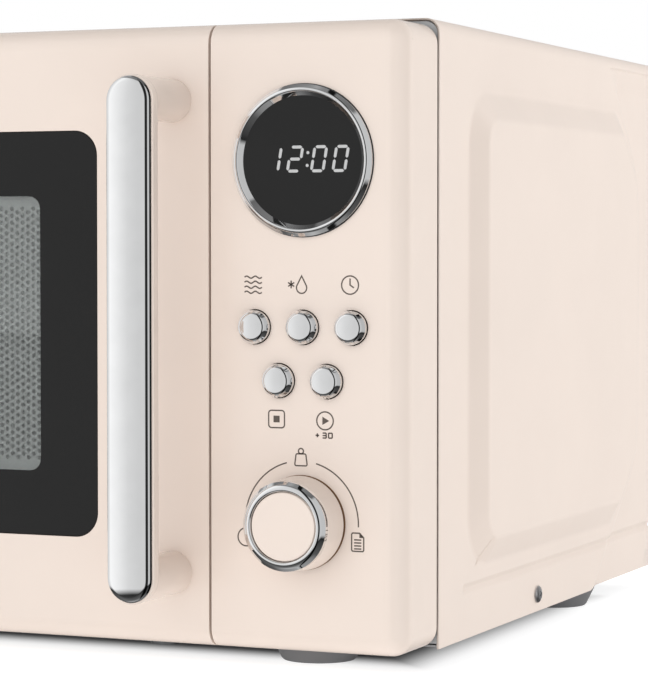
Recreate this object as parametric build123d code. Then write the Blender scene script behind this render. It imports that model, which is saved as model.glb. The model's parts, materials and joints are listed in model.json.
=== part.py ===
from build123d import *
import os

# Countertop microwave oven, millimetres, +Z up, front facing -Y.
# The model is drawn with Y = 0 at the cabinet's front edge and Z = 0 at the cover's lower edge,
# and each piece is moved to the part's frame when it is written: origin at the middle of the
# bounding box's bottom, on the surface that the feet stand on.

# ---------------------------------------------------------------- driving dimensions
CABINET_WIDTH = 440.0
CABINET_DEPTH = 305.0
CABINET_HEIGHT = 247.0
FOOT_HEIGHT = 10.0
SHEET = 0.8                 # steel sheet of the casing
WALL = 2.6                  # moulded plastic wall
FRONT_THICKNESS = 35.0      # door and control panel, front face to cabinet edge
FRONT_GAP = 1.0             # air between the door's back and the cabinet
PANEL_EDGE = 138.1          # left edge of the control panel
DOOR_EDGE = 137.0           # right edge of the door
BEZEL_TOP = 244.6
BEZEL_BOTTOM = 0.6
BEZEL_RADIUS = 8.0
HANDLE_REACH = 74.5         # handle's front face to the cabinet edge

COVER_FOLD = 6.0            # bend radius along the two top edges
EMBOSS_RISE = 5.5           # raised panel on each flank
EMBOSS_SLOPE = 63.5         # degrees from straight out
GROOVE_TOP = 22.3           # long crease above the cover's lower edge
GROOVE_DEPTH = 1.3
REAR_TUCK = 4.0             # how far the flank is drawn in at the back
TUCK_START = 272.0
BACK_OPENING_X = 200.0      # half width of the opening that the rear panel closes
BACK_OPENING_TOP = 232.0

FRONT_PLATE_FRONT = 0.8
FRONT_PLATE_BACK = 1.6
BASE_UNDERSIDE = 0.4

CAVITY_LEFT = -200.0
CAVITY_RIGHT = 115.0
CAVITY_BOTTOM = 24.0
CAVITY_TOP = 224.0
CAVITY_BACK = 289.0
CAVITY_SHEET = 0.6

HINGE_X = -209.5
HINGE_Y = -14.0
HINGE_PIN_RADIUS = 3.0
HINGE_LEVELS = (12.0, 233.0)
HINGE_ARM_RADIUS = 5.0
HINGE_PIN_REACH = 8.0       # the pin's half length

HOOK_LEVELS = (90.0, 152.0) # undersides of the two latch hooks
HOOK_LEFT = 123.5
HOOK_RIGHT = 126.5

WINDOW_RIGHT = 88.0
WINDOW_TOP = 204.1
WINDOW_BOTTOM = 41.7
WINDOW_RADIUS = 10.0
SCREEN_MARGIN = 25.8        # black border around the see-through screen
SCREEN_FRONT = -30.4        # front of the perforated screen, close behind the pane
DISH_MARGIN = 14.0          # the inner door's dish around the screen
PANE_FIT = 0.2
PANE_LIP = 6.0

HANDLE_X = 121.3
HANDLE_WIDTH = 20.4
HANDLE_TOP = 223.5
HANDLE_BOTTOM = 21.1
HANDLE_BAR_THICKNESS = 5.4
TRIM_THICKNESS = 3.0
POST_RADIUS = 8.5
POST_BORE_RADIUS = 2.0

DISPLAY_X = 177.2
DISPLAY_Z = 191.0
DISPLAY_RADIUS = 29.3
LENS_RADIUS = 25.5
BOARD_FRONT = -20.6
BOARD_BACK = -19.0

BUTTON_RADIUS = 6.65
BUTTON_RISE = 4.3
BUTTON_TRAVEL = 1.5
BUTTON_PLACES = {
    "power_button": (156.9, 126.8),
    "defrost_button": (177.2, 126.8),
    "clock_button": (197.5, 126.8),
    "stop_button": (167.1, 106.1),
    "start_button": (187.3, 106.1),
}

KNOB_X = 176.6
KNOB_Z = 51.4
KNOB_RADIUS = 18.35
KNOB_RISE = 17.8
SHAFT_RADIUS = 3.0

TABLE_X = (CAVITY_LEFT + CAVITY_RIGHT) / 2
TABLE_Y = 148.0
TRAY_RADIUS = 122.5
ROLLER_RADIUS = 8.0
ROLLER_TRACK = 92.5
AXLE_RADIUS = 2.0
ROLLING_GAP = 0.3
RUNNING_FIT = 0.06

FAN_X = 159.0
FAN_Z = 150.0
FAN_RADIUS = 38.0
FAN_SHAFT_RADIUS = 1.6

ANTENNA_Y = 175.0           # axis of the magnetron, across the cabinet
ANTENNA_Z = 180.0
WAVEGUIDE_WIDTH = 30.0

CORD_X = 185.0              # where the mains lead enters
CORD_Z = 23.0

FOOT_PLACES = ((160.0, 21.0), (-160.0, 21.0), (195.0, 218.0), (-195.0, 218.0))
BOSS_PLACES = ((89.0, 24.0), (-89.0, 24.0))
SIDE_SCREW = (120.0, 7.5)
SCREW_HEAD = 2.0
SCREW_HEAD_RADIUS = 4.0
SCREW_RADIUS = 1.9
SCREW_HOLE_RADIUS = 2.0
SCREW_LENGTH = 8.0
REAR_SCREWS = (
    (-207.0, 60.0), (-207.0, 190.0), (207.0, 60.0), (207.0, 190.0), (-100.0, 239.0), (100.0, 239.0),
)

HALF_WIDTH = CABINET_WIDTH / 2
FRONT_FACE = -FRONT_THICKNESS
SKIN_BACK = FRONT_FACE + WALL
DOOR_MIDDLE = (DOOR_EDGE - HALF_WIDTH) / 2
REAR_FACE = CABINET_DEPTH - SHEET - 0.1
WINDOW_LEFT = 2 * DOOR_MIDDLE - WINDOW_RIGHT
TO_PART = Location((0, (HANDLE_REACH - CABINET_DEPTH - SCREW_HEAD) / 2, FOOT_HEIGHT))


# ---------------------------------------------------------------- helpers
def block(x0, x1, y0, y1, z0, z1):
    """A box between two corners."""
    centre = ((x0 + x1) / 2, (y0 + y1) / 2, (z0 + z1) / 2)
    return Pos(*centre) * Box(abs(x1 - x0), abs(y1 - y0), abs(z1 - z0))


def rod(x, z, radius, y0, y1):
    """A cylinder along Y."""
    return Pos(x, (y0 + y1) / 2, z) * Rot(90, 0, 0) * Cylinder(radius, abs(y1 - y0))


def post(x, y, radius, z0, z1):
    """A cylinder along Z."""
    return Pos(x, y, (z0 + z1) / 2) * Cylinder(radius, abs(z1 - z0))


def cross_rod(y, z, radius, x0, x1):
    """A cylinder along X."""
    return Pos((x0 + x1) / 2, y, z) * Rot(0, 90, 0) * Cylinder(radius, abs(x1 - x0))


def lathe_y(profile, x, z):
    """A turned shape about an axis along Y, from (radius, y) points."""
    points = [(x + radius, y, z) for radius, y in profile]
    face = make_face(Polyline(*points, close=True))
    return revolve(face, Axis((x, 0, z), (0, 1, 0)), 360)


def lathe_z(profile, x, y):
    """A turned shape about an axis along Z, from (radius, z) points."""
    points = [(x + radius, y, z) for radius, z in profile]
    face = make_face(Polyline(*points, close=True))
    return revolve(face, Axis((x, y, 0), (0, 0, 1)), 360)


def upright_slab(outline, x, z, y0, y1):
    """A flat outline, drawn as seen from the front, with thickness from y0 back to y1."""
    plane = Plane(origin=(x, y1, z), x_dir=(1, 0, 0), z_dir=(0, -1, 0))
    return extrude(plane * outline, amount=y1 - y0)


def mirrored(shape):
    """The same piece on the other side of the cabinet."""
    return mirror(shape, Plane.YZ)


def save(name, *solids):
    """Write one node, moved to the part's frame."""
    placed = [TO_PART * solid for shape in solids for solid in shape.solids()]
    shape = placed[0] if len(placed) == 1 else Compound(placed)
    export_step(shape, f"parts/{name}.step")


# ---------------------------------------------------------------- casing
def flank_raise(inset):
    """The raised panel of the right flank, its rear corners cut off on the slant."""
    corners = ((32.7, 28.0), (228.0, 28.0), (262.0, 56.0), (262.0, 192.0), (234.0, 220.3), (32.7, 220.3))
    outline = make_face(Polyline(*corners, close=True))
    front = outline.vertices().sort_by(Axis.X)[:2]
    outline = fillet(front, 22.0)
    slanted = [v for v in outline.vertices() if v.X > 220.0]
    outline = fillet(slanted, 13.0)
    plane = Plane(origin=(HALF_WIDTH - inset, 0, 0), x_dir=(0, 1, 0), z_dir=(1, 0, 0))
    return extrude(plane * outline, amount=EMBOSS_RISE, taper=EMBOSS_SLOPE)


def flank_tuck(inset):
    """What is pressed in at the back of the right flank, wider at the top and bottom corners."""
    beyond = CABINET_DEPTH + 60.0
    corners = (
        (155.0, 316.0), (TUCK_START, 190.0), (TUCK_START, 58.0), (136.0, -52.0),
        (beyond, -52.0), (beyond, 316.0),
    )
    outline = make_face(Polyline(*((-y, z) for y, z in corners), close=True))
    bends = outline.vertices().filter_by_position(Axis.X, -TUCK_START - 0.1, -TUCK_START + 0.1)
    outline = fillet(bends, 45.0)
    plane = Plane(origin=(HALF_WIDTH - inset, 0, 0), x_dir=(0, -1, 0), z_dir=(-1, 0, 0))
    return extrude(plane * outline, amount=REAR_TUCK, taper=60.0)


def flank_groove(inset):
    """The crease along the right flank: steep above, easing out below."""
    face = HALF_WIDTH - inset
    profile = make_face(Polyline(
        (face + 0.5, 27.6, GROOVE_TOP),
        (face, 27.6, GROOVE_TOP),
        (face - GROOVE_DEPTH, 27.6, GROOVE_TOP - 2.2),
        (face, 27.6, GROOVE_TOP - 10.0),
        (face + 0.5, 27.6, GROOVE_TOP - 10.0),
        close=True,
    ))
    return extrude(profile, amount=CABINET_DEPTH, dir=(0, 1, 0))


def cover_form(inset, front, bottom):
    """The casing's outside, or the same form moved in by the sheet's thickness."""
    side = HALF_WIDTH - inset
    form = block(-side, side, front, CABINET_DEPTH - inset, bottom, CABINET_HEIGHT - inset)
    top_edges = form.edges().filter_by(Axis.Y).sort_by(Axis.Z)[-2:]
    form = fillet(top_edges, COVER_FOLD - inset)
    raised = flank_raise(inset)
    return press_flanks(form + raised + mirrored(raised), inset)


def press_flanks(form, inset):
    """Take the crease and the drawn-in back off both flanks."""
    for hollow in (flank_tuck(inset), flank_groove(inset)):
        form = form - hollow - mirrored(hollow)
    return form


def make_outer_cover():
    """Top, flanks and a narrow flange around the back."""
    cover = cover_form(0.0, 0.0, 0.0) - cover_form(SHEET, -20.0, -20.0)
    cover -= block(-BACK_OPENING_X, BACK_OPENING_X, 290, 320, -10, BACK_OPENING_TOP)
    for side in (-1, 1):
        cover -= side_screw_hole(side)
    for x, z in REAR_SCREWS:
        cover -= rear_screw_hole(x, z)
    return cover


def side_screw_hole(side):
    """The hole for the screw low on one flank."""
    return cross_rod(*SIDE_SCREW, SCREW_HOLE_RADIUS, side * (HALF_WIDTH - 20), side * (HALF_WIDTH + 10))


def rear_screw_hole(x, z):
    """The hole for one screw of the back."""
    return rod(x, z, SCREW_HOLE_RADIUS, CABINET_DEPTH - 5, CABINET_DEPTH + 5)


def slot_bank(x0, z0, columns, rows, pitch_x, pitch_z, width, height, y0, y1):
    """A bank of upright air slots."""
    slots = []
    for column in range(columns):
        for row in range(rows):
            x = x0 + column * pitch_x
            z = z0 + row * pitch_z
            slots.append(block(x, x + width, y0, y1, z, z + height))
    return slots


def make_rear_panel():
    """Back plate with the fan's inlet slots, the cavity's outlet slots and the cord hole."""
    side = HALF_WIDTH - REAR_TUCK - SHEET - 0.4
    plate = block(-side, side, REAR_FACE - SHEET, REAR_FACE, 1.8, CABINET_HEIGHT - SHEET - 0.2)
    plate = fillet(plate.edges().filter_by(Axis.Y).sort_by(Axis.Z)[-2:], COVER_FOLD)
    plate -= slot_bank(FAN_X - 38, 112, 9, 3, 9.0, 27.0, 4.0, 22.0, 295, 310)
    plate -= slot_bank(-180, 190, 12, 1, 9.0, 27.0, 4.0, 26.0, 295, 310)
    plate -= block(CORD_X - 9, CORD_X + 9, 295, 310, CORD_Z - 7, CORD_Z + 7)
    for x, z in REAR_SCREWS:
        plate -= rear_screw_hole(x, z)
    return plate


def pressed_boss(x, y):
    """A small cup pressed down out of the base."""
    outer = lathe_z(((0, BASE_UNDERSIDE), (11.5, BASE_UNDERSIDE), (6.5, -8.2), (0, -8.2)), x, y)
    inner = lathe_z(((0, 1.3), (11.0, 1.3), (5.9, -7.4), (0, -7.4)), x, y)
    return outer, inner


def base_form(inset, low, high):
    """A slab that follows the inside of the cover's flanks."""
    side = HALF_WIDTH - inset
    return press_flanks(block(-side, side, 2.2, 302.0, low, high), inset)


def make_base_plate():
    """Floor pan with upturned flanges, two pressed cups and air slots."""
    margin = SHEET + 0.2
    upper = 16.0
    pan = base_form(margin, BASE_UNDERSIDE, upper)
    pan -= base_form(margin + SHEET, BASE_UNDERSIDE + SHEET, upper)
    for x, y in BOSS_PLACES:
        outer, inner = pressed_boss(x, y)
        pan = pan + outer - inner
    for row in range(6):
        y = 225 + row * 10
        pan -= block(-150, -110, y, y + 4, -1, 3)
        pan -= block(-100, -60, y, y + 4, -1, 3)
    for side in (-1, 1):
        pan -= side_screw_hole(side)
    return pan


def make_feet():
    """Four tapered feet under the base."""
    profile = (
        (0, BASE_UNDERSIDE), (19.0, BASE_UNDERSIDE), (19.0, -2.0), (15.5, -FOOT_HEIGHT + 0.8),
        (14.7, -FOOT_HEIGHT), (0, -FOOT_HEIGHT),
    )
    return [lathe_z(profile, x, y) for x, y in FOOT_PLACES]


def hook_slots(y0, y1):
    """The two slots that the latch hooks pass through."""
    return [block(HOOK_LEFT - 2, HOOK_RIGHT + 5, y0, y1, z - 7, z + 15) for z in HOOK_LEVELS]


def make_front_plate():
    """Steel frame around the cavity's mouth; it runs on behind the control panel."""
    side = HALF_WIDTH - SHEET - 0.2
    plate = block(-side, side, FRONT_PLATE_FRONT, FRONT_PLATE_BACK, 2.0, CABINET_HEIGHT - SHEET - 0.3)
    plate = fillet(plate.edges().filter_by(Axis.Y).sort_by(Axis.Z)[-2:], COVER_FOLD - 0.6)
    plate -= block(CAVITY_LEFT, CAVITY_RIGHT, -5, 5, CAVITY_BOTTOM, CAVITY_TOP)
    plate -= block(150, 208, -5, 5, 60, 200)
    plate -= hook_slots(-5, 5)
    for level in HINGE_LEVELS:
        slot = HINGE_ARM_RADIUS + 0.3
        plate -= block(HINGE_X - slot, HINGE_X + slot, -5, 5, level - 1.4, level + 1.4)
    return plate


# ---------------------------------------------------------------- oven cavity
def make_cavity_walls():
    """Five enamelled sheets; the right one has the waveguide's port and the lamp's holes."""
    t = CAVITY_SHEET
    y0 = FRONT_PLATE_BACK
    left, right = CAVITY_LEFT, CAVITY_RIGHT
    low, high, back = CAVITY_BOTTOM, CAVITY_TOP, CAVITY_BACK
    shaft_hole = post(TABLE_X, TABLE_Y, 5.0, 0, 40)
    floor = block(left - t, right + t, y0, back, low - t, low) - shaft_hole
    ceiling = block(left - t, right + t, y0, back, high, high + t)
    left_wall = block(left - t, left, y0, back, low, high)
    right_wall = block(right, right + t, y0, back, low, high)
    right_wall -= block(right - 5, right + 5, 140, 210, 146, 204)
    for row in range(3):
        for column in range(5):
            right_wall -= cross_rod(72 + column * 7, 196 + row * 7, 2.0, right - 5, right + 5)
    left_wall -= [block(left - 5, left + 5, 215 + i * 8, 219 + i * 8, 190, 206) for i in range(6)]
    back_wall = block(left - t, right + t, back, back + t, low - t, high + t)
    return {
        "cavity_floor": floor,
        "cavity_ceiling": ceiling,
        "cavity_left_wall": left_wall,
        "cavity_right_wall": right_wall,
        "cavity_back_wall": back_wall,
    }


def make_waveguide():
    """Shallow steel box that carries the microwaves from the magnetron to the port."""
    x0 = CAVITY_RIGHT + CAVITY_SHEET
    x1 = x0 + WAVEGUIDE_WIDTH
    half_y, half_z = 45.0, 42.0
    box = block(x0, x1, ANTENNA_Y - half_y, ANTENNA_Y + half_y, ANTENNA_Z - half_z, ANTENNA_Z + half_z)
    half_y, half_z = half_y - 1.0, half_z - 1.0
    box -= block(
        x0 - 1, x1 - 1, ANTENNA_Y - half_y, ANTENNA_Y + half_y, ANTENNA_Z - half_z, ANTENNA_Z + half_z
    )
    return box - cross_rod(ANTENNA_Y, ANTENNA_Z, 14.0, x1 - 10, x1 + 10)


def make_waveguide_cover():
    """Mica sheet over the port, on the cavity side."""
    return block(CAVITY_RIGHT - 1.2, CAVITY_RIGHT - 0.1, 134, 216, 142, 208)


def make_magnetron():
    """Yoke, anode with its cooling fins and the antenna dome that sits in the waveguide."""
    x0 = CAVITY_RIGHT + CAVITY_SHEET + WAVEGUIDE_WIDTH
    yoke = block(x0, x0 + 62, 137, 213, 152, 208) - block(x0 + 2, x0 + 60, 130, 220, 154, 206)
    anode = cross_rod(ANTENNA_Y, ANTENNA_Z, 17.0, x0 + 1, x0 + 61)
    antenna = cross_rod(ANTENNA_Y, ANTENNA_Z, 8.0, x0 - 24, x0 + 1)
    fins = [block(x0 + 12 + i * 8, x0 + 12.8 + i * 8, 140, 210, 154, 206) for i in range(6)]
    body = yoke + anode + antenna
    for fin in fins:
        body += fin
    return body


def make_filter_box():
    """Filter box on the magnetron's outer end, with its two terminals."""
    x0 = CAVITY_RIGHT + CAVITY_SHEET + WAVEGUIDE_WIDTH + 62.0
    box = block(x0, x0 + 8, 150, 200, 160, 200)
    return box + block(x0 + 2, x0 + 6, 144, 150, 170, 190)


def make_transformer():
    """Laminated core with two windows, and the coils around its middle leg."""
    core = block(124, 211, 112, 178, 1.3, 76.3)
    for x in (136, 179):
        core -= block(x, x + 20, 100, 190, 20.0, 58.0)
    coils = []
    for z0, z1 in ((20.5, 37.5), (40.5, 57.5)):
        coil = block(136.4, 198.6, 104, 186, z0, z1) - block(155.8, 179.2, 111.5, 178.5, 0, 80)
        coils.append(coil)
    return core, coils


def make_hv_diode():
    """Rectifier beside the capacitor."""
    return cross_rod(205, 8.0, 3.5, 140, 160)


def make_capacitor():
    """Oval can lying on the base, with two terminals."""
    outline = SlotOverall(52.0, 32.0)
    plane = Plane(origin=(126, 245, 18.2), x_dir=(0, 1, 0), z_dir=(1, 0, 0))
    can = extrude(plane * outline, amount=82.0)
    return can + block(208, 213, 233, 239, 15, 21) + block(208, 213, 251, 257, 15, 21)


def make_fan_duct():
    """Square mouth plate with a round collar for the fan, and two arms to the motor."""
    half = FAN_RADIUS + 5
    wall = 2.0
    mouth = rod(FAN_X, FAN_Z, FAN_RADIUS + wall, 260, 310)
    duct = block(FAN_X - half, FAN_X + half, 298.5, 300.5, FAN_Z - half, FAN_Z + half)
    duct += rod(FAN_X, FAN_Z, FAN_RADIUS + 2 * wall, 270, 298.5)
    duct -= mouth
    for side in (-1, 1):
        middle = FAN_X + side * (FAN_RADIUS + 2.5)
        duct += block(middle - 1.5, middle + 1.5, 240, 272, FAN_Z - 5, FAN_Z + 5)
    return duct + block(FAN_X - FAN_RADIUS - 4, FAN_X + FAN_RADIUS + 4, 238, 241, FAN_Z - 5, FAN_Z + 5)


def make_fan_motor():
    """Shaded-pole motor: lamination stack, coil and the bearing for the fan's shaft."""
    stack = block(FAN_X - 25, FAN_X + 25, 241, 257, 128, 176)
    coil = block(FAN_X - 14, FAN_X + 14, 241.5, 262, 176, 190)
    bearing = rod(FAN_X, FAN_Z, 9.0, 257, 263)
    return stack + coil + bearing - rod(FAN_X, FAN_Z, FAN_SHAFT_RADIUS + RUNNING_FIT, 245, 270)


def make_fan_blade():
    """Six pitched blades on a hub, with the steel shaft."""
    fan = rod(FAN_X, FAN_Z, 11.0, 274, 292)
    for i in range(6):
        blade = Pos(24.0, 0, 0) * Rot(38, 0, 0) * Box(30.0, 1.6, 22.0)
        fan += Pos(FAN_X, 283, FAN_Z) * Rot(0, 60 * i, 0) * blade
    fan = fan & rod(FAN_X, FAN_Z, FAN_RADIUS, 270, 296)
    return fan + rod(FAN_X, FAN_Z, FAN_SHAFT_RADIUS, 247, 274)


def make_turntable_motor():
    """Flat synchronous motor under the cavity, with a bearing for the coupler's shaft."""
    can = post(TABLE_X, TABLE_Y, 24.5, 2.4, 19.0)
    ears = block(TABLE_X - 31, TABLE_X + 31, TABLE_Y - 5, TABLE_Y + 5, 18.0, 19.0)
    return can + ears - post(TABLE_X, TABLE_Y, 3.5 + RUNNING_FIT, 12.0, 30.0)


def make_lamp():
    """Moulded socket outside the cavity wall and the small glass bulb in it."""
    x0 = CAVITY_RIGHT + CAVITY_SHEET
    y0, y1 = 74.0, 98.0
    socket = block(x0 + 26, x0 + 50, y0, y1, 192, 218)
    bracket = block(x0, x0 + 50, y0, y1, 217, 218) + block(x0, x0 + 1, y0, y1, 214, 218)
    bulb = cross_rod((y0 + y1) / 2, 204, 8.0, x0 + 6, x0 + 26)
    bulb = fillet(bulb.edges().sort_by(Axis.X)[0], 6.0)
    return socket + bracket, bulb


def make_thermal_cutout():
    """Disc thermostat on the cavity's right wall."""
    x0 = CAVITY_RIGHT + CAVITY_SHEET + 0.6
    return cross_rod(116, 180, 8.0, x0, x0 + 5.8) + cross_rod(116, 180, 11.0, x0, x0 + 1.0)


def make_filter_board():
    """Mains filter board over the cavity, with its choke."""
    return block(128, 210, 20, 100, 228.4, 230.0) + block(140, 165, 40, 65, 230.0, 242.0)


def make_cord_gland():
    """Bushing in the rear panel that the mains lead goes through."""
    gland = block(CORD_X - 12, CORD_X + 12, REAR_FACE, REAR_FACE + 2.3, CORD_Z - 10, CORD_Z + 10)
    gland += block(CORD_X - 8.8, CORD_X + 8.8, 296, REAR_FACE, CORD_Z - 6.8, CORD_Z + 6.8)
    return gland - rod(CORD_X, CORD_Z, 4.0, 290, 310)


def make_latch_bracket():
    """Moulded pocket behind the front plate that the hooks enter."""
    bracket = block(118.5, 140, 1.7, 44, 78, 172)
    return bracket - block(120.5, 132.5, 1, 36, 81, 169)


def make_interlock_switches():
    """Three snap switches on the latch bracket's side."""
    switches = []
    for z in (84.0, 115.0, 146.0):
        body = block(140.2, 150.5, 12, 32, z, z + 20)
        switches.append(body + block(143, 148, 8, 12, z + 3, z + 5))
    return switches


def make_hinge_plates():
    """Two arms that pass through the front plate and hold the door's pins."""
    arms = []
    for level in HINGE_LEVELS:
        x0, x1 = HINGE_X - HINGE_ARM_RADIUS, HINGE_X + HINGE_ARM_RADIUS
        arm = block(x0, x1, HINGE_Y, 12, level - 1, level + 1)
        arm += post(HINGE_X, HINGE_Y, HINGE_ARM_RADIUS, level - 1, level + 1)
        arm += block(x0, x1, FRONT_PLATE_BACK + 0.1, 2.9, level - 9.5, level + 9.5)
        arms.append(arm - post(HINGE_X, HINGE_Y, HINGE_PIN_RADIUS + RUNNING_FIT, 0, 260))
    return arms


def make_cover_screws():
    """Pan-head screws: one low on each flank and six around the back flange."""
    screws = []
    for side in (-1, 1):
        head = cross_rod(*SIDE_SCREW, SCREW_HEAD_RADIUS, side * HALF_WIDTH, side * (HALF_WIDTH + 2.4))
        shank = cross_rod(*SIDE_SCREW, SCREW_RADIUS, side * (HALF_WIDTH - SCREW_LENGTH), side * HALF_WIDTH)
        screws.append(head + shank)
    for x, z in REAR_SCREWS:
        head = rod(x, z, SCREW_HEAD_RADIUS, CABINET_DEPTH, CABINET_DEPTH + SCREW_HEAD)
        screws.append(head + rod(x, z, SCREW_RADIUS, CABINET_DEPTH - SCREW_LENGTH, CABINET_DEPTH))
    return screws


# ---------------------------------------------------------------- control panel
def bezel_block(x0, x1, inset, back, round_side):
    """A deep slab with its free edges rounded; round_side is the side away from the door gap."""
    radius = BEZEL_RADIUS - inset
    slab = block(x0, x1, FRONT_FACE + inset, back, BEZEL_BOTTOM + inset, BEZEL_TOP - inset)
    edges = slab.edges()
    front = edges.filter_by_position(Axis.Y, FRONT_FACE + inset - 0.01, FRONT_FACE + inset + 0.01)
    free = front.filter_by(Axis.X)
    outer_x = x1 if round_side > 0 else x0
    free += front.filter_by(Axis.Z).filter_by_position(Axis.X, outer_x - 0.01, outer_x + 0.01)
    free += edges.filter_by(Axis.Y).filter_by_position(Axis.X, outer_x - 0.01, outer_x + 0.01)
    return fillet(free, radius)


def make_control_panel():
    """Moulded shell with holes for the display, the buttons and the knob's shaft."""
    right = HALF_WIDTH - 0.5
    shell = bezel_block(PANEL_EDGE, right, 0.0, -FRONT_GAP, 1)
    shell -= bezel_block(PANEL_EDGE + WALL, right - WALL, WALL, 5.0, 1)
    shell -= rod(DISPLAY_X, DISPLAY_Z, LENS_RADIUS + 0.2, -50, -30)
    for x, z in BUTTON_PLACES.values():
        shell -= rod(x, z, BUTTON_RADIUS + 0.25, -50, -30)
    return shell - rod(KNOB_X, KNOB_Z, 5.5, -50, -30)


def make_display_ring():
    """Chrome ring around the clock."""
    face = FRONT_FACE
    profile = (
        (LENS_RADIUS, face), (DISPLAY_RADIUS, face), (DISPLAY_RADIUS, face - 0.7),
        (27.9, face - 2.4), (26.8, face - 3.0), (26.0, face - 2.4), (LENS_RADIUS, face - 1.2),
    )
    return lathe_y(profile, DISPLAY_X, DISPLAY_Z)


def make_display_lens():
    """Black lens of the clock, held from behind by a wider lip."""
    lens = rod(DISPLAY_X, DISPLAY_Z, LENS_RADIUS - 0.05, FRONT_FACE - 0.8, SKIN_BACK)
    return lens + rod(DISPLAY_X, DISPLAY_Z, LENS_RADIUS + 3.0, SKIN_BACK, SKIN_BACK + 1.5)


def make_control_board():
    """Circuit board with the display block, the relays and the transformer."""
    board = block(143, 214, BOARD_FRONT, BOARD_BACK, 10, 234)
    board += block(160, 194, -28.0, BOARD_FRONT, 178, 204)
    for x in (146, 170):
        board += block(x, x + 18, BOARD_BACK, -4.0, 20, 40)
    return board + block(150, 185, BOARD_BACK, 0.0, 205, 230)


def make_tact_switches():
    """One small switch behind each button."""
    switches = []
    for x, z in BUTTON_PLACES.values():
        body = block(x - 3, x + 3, -23.2, BOARD_FRONT, z - 3, z + 3)
        switches.append(body + rod(x, z, 1.7, -24.2, -23.2))
    return switches


def make_encoder():
    """Rotary encoder behind the knob, with the bush for its shaft."""
    body = block(KNOB_X - 6, KNOB_X + 6, -27.0, BOARD_FRONT, KNOB_Z - 6, KNOB_Z + 6)
    body += rod(KNOB_X, KNOB_Z, 4.6, -33.5, -27.0)
    return body - rod(KNOB_X, KNOB_Z, SHAFT_RADIUS + RUNNING_FIT, -40, -22.5)


def make_button(x, z):
    """Domed cap, the flange that keeps it in the panel, and the stem to its switch."""
    face = FRONT_FACE - BUTTON_RISE
    profile = (
        (0, face), (3.0, face + 0.15), (4.6, face + 0.45), (5.3, face + 0.8), (6.2, face + 1.8),
        (BUTTON_RADIUS, face + 3.0), (BUTTON_RADIUS, -31.4), (8.3, -31.4), (8.3, -30.2),
        (2.5, -30.2), (2.5, -25.9), (0, -25.9),
    )
    return lathe_y(profile, x, z)


def make_knob():
    """Tapered body with its raised cap, the chrome ring around the cap, and the shaft."""
    base = FRONT_FACE - 0.8
    tip = FRONT_FACE - KNOB_RISE
    seat = tip + 3.6
    body = lathe_y((
        (0, tip), (12.6, tip), (13.5, tip + 0.7), (13.5, seat), (16.9, seat), (17.3, seat + 1.0),
        (KNOB_RADIUS, base - 1.0), (KNOB_RADIUS, base), (16.0, base), (15.0, base - 10.0),
        (6.0, base - 10.0), (6.0, base), (0, base),
    ), KNOB_X, KNOB_Z)
    body -= rod(KNOB_X, KNOB_Z, SHAFT_RADIUS, tip + 5.0, -30)
    ring = lathe_y((
        (13.6, seat), (13.6, tip - 0.1), (14.6, tip - 0.5), (15.6, tip), (16.5, tip + 1.2), (16.8, seat),
    ), KNOB_X, KNOB_Z)
    shaft = rod(KNOB_X, KNOB_Z, SHAFT_RADIUS, tip + 5.0, -23.5)
    return body, ring, shaft


# ---------------------------------------------------------------- door
def make_door_frame():
    """Moulded outer frame with the window's opening and a solid corner at each hinge."""
    left = -HALF_WIDTH
    frame = bezel_block(left, DOOR_EDGE, 0.0, -FRONT_GAP, -1)
    hollow = bezel_block(left + WALL, DOOR_EDGE - WALL, WALL, 5.0, -1)
    for z0, z1 in ((BEZEL_BOTTOM, 22.0), (223.0, BEZEL_TOP)):
        hollow -= block(left, -200, -40, 10, z0, z1)
    frame -= hollow
    frame -= back_round(left)
    width = WINDOW_RIGHT - WINDOW_LEFT
    height = WINDOW_TOP - WINDOW_BOTTOM
    opening = RectangleRounded(width, height, WINDOW_RADIUS)
    frame -= upright_slab(opening, DOOR_MIDDLE, (WINDOW_TOP + WINDOW_BOTTOM) / 2, -40, -30)
    for level in HINGE_LEVELS:
        frame -= block(left - 1, HINGE_X + 6, -21.5, 1, level - 2, level + 2)
        frame -= post(HINGE_X, HINGE_Y, HINGE_PIN_RADIUS, level - HINGE_PIN_REACH, level + HINGE_PIN_REACH)
    for z in handle_post_levels():
        frame -= rod(HANDLE_X, z, POST_BORE_RADIUS, -40, -30)
    return frame


def back_round(left):
    """The sliver taken off the door's rear left corner, so that it turns clear of the cabinet."""
    radius = 10.0
    corner = block(left - 1, left + radius, -FRONT_GAP - radius, 1, -5, 260)
    return corner - post(left + radius, -FRONT_GAP - radius, radius, -5, 260)


def make_door_window():
    """Outer pane with the black border, flush in the frame and glued behind it."""
    width = WINDOW_RIGHT - WINDOW_LEFT - 2 * PANE_FIT
    height = WINDOW_TOP - WINDOW_BOTTOM - 2 * PANE_FIT
    middle = (WINDOW_TOP + WINDOW_BOTTOM) / 2
    pane = RectangleRounded(width, height, WINDOW_RADIUS - PANE_FIT)
    lip = RectangleRounded(width + 2 * PANE_LIP, height + 2 * PANE_LIP, WINDOW_RADIUS)
    window = upright_slab(pane, DOOR_MIDDLE, middle, FRONT_FACE + 0.2, SKIN_BACK)
    return window + upright_slab(lip, DOOR_MIDDLE, middle, SKIN_BACK, SKIN_BACK + 1.4)


def screen_box(grow, y0, y1):
    """The rectangle of the see-through screen, grown by a margin."""
    return block(
        WINDOW_LEFT + SCREEN_MARGIN - grow, WINDOW_RIGHT - SCREEN_MARGIN + grow, y0, y1,
        WINDOW_BOTTOM + SCREEN_MARGIN - grow, WINDOW_TOP - SCREEN_MARGIN + grow,
    )


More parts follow.
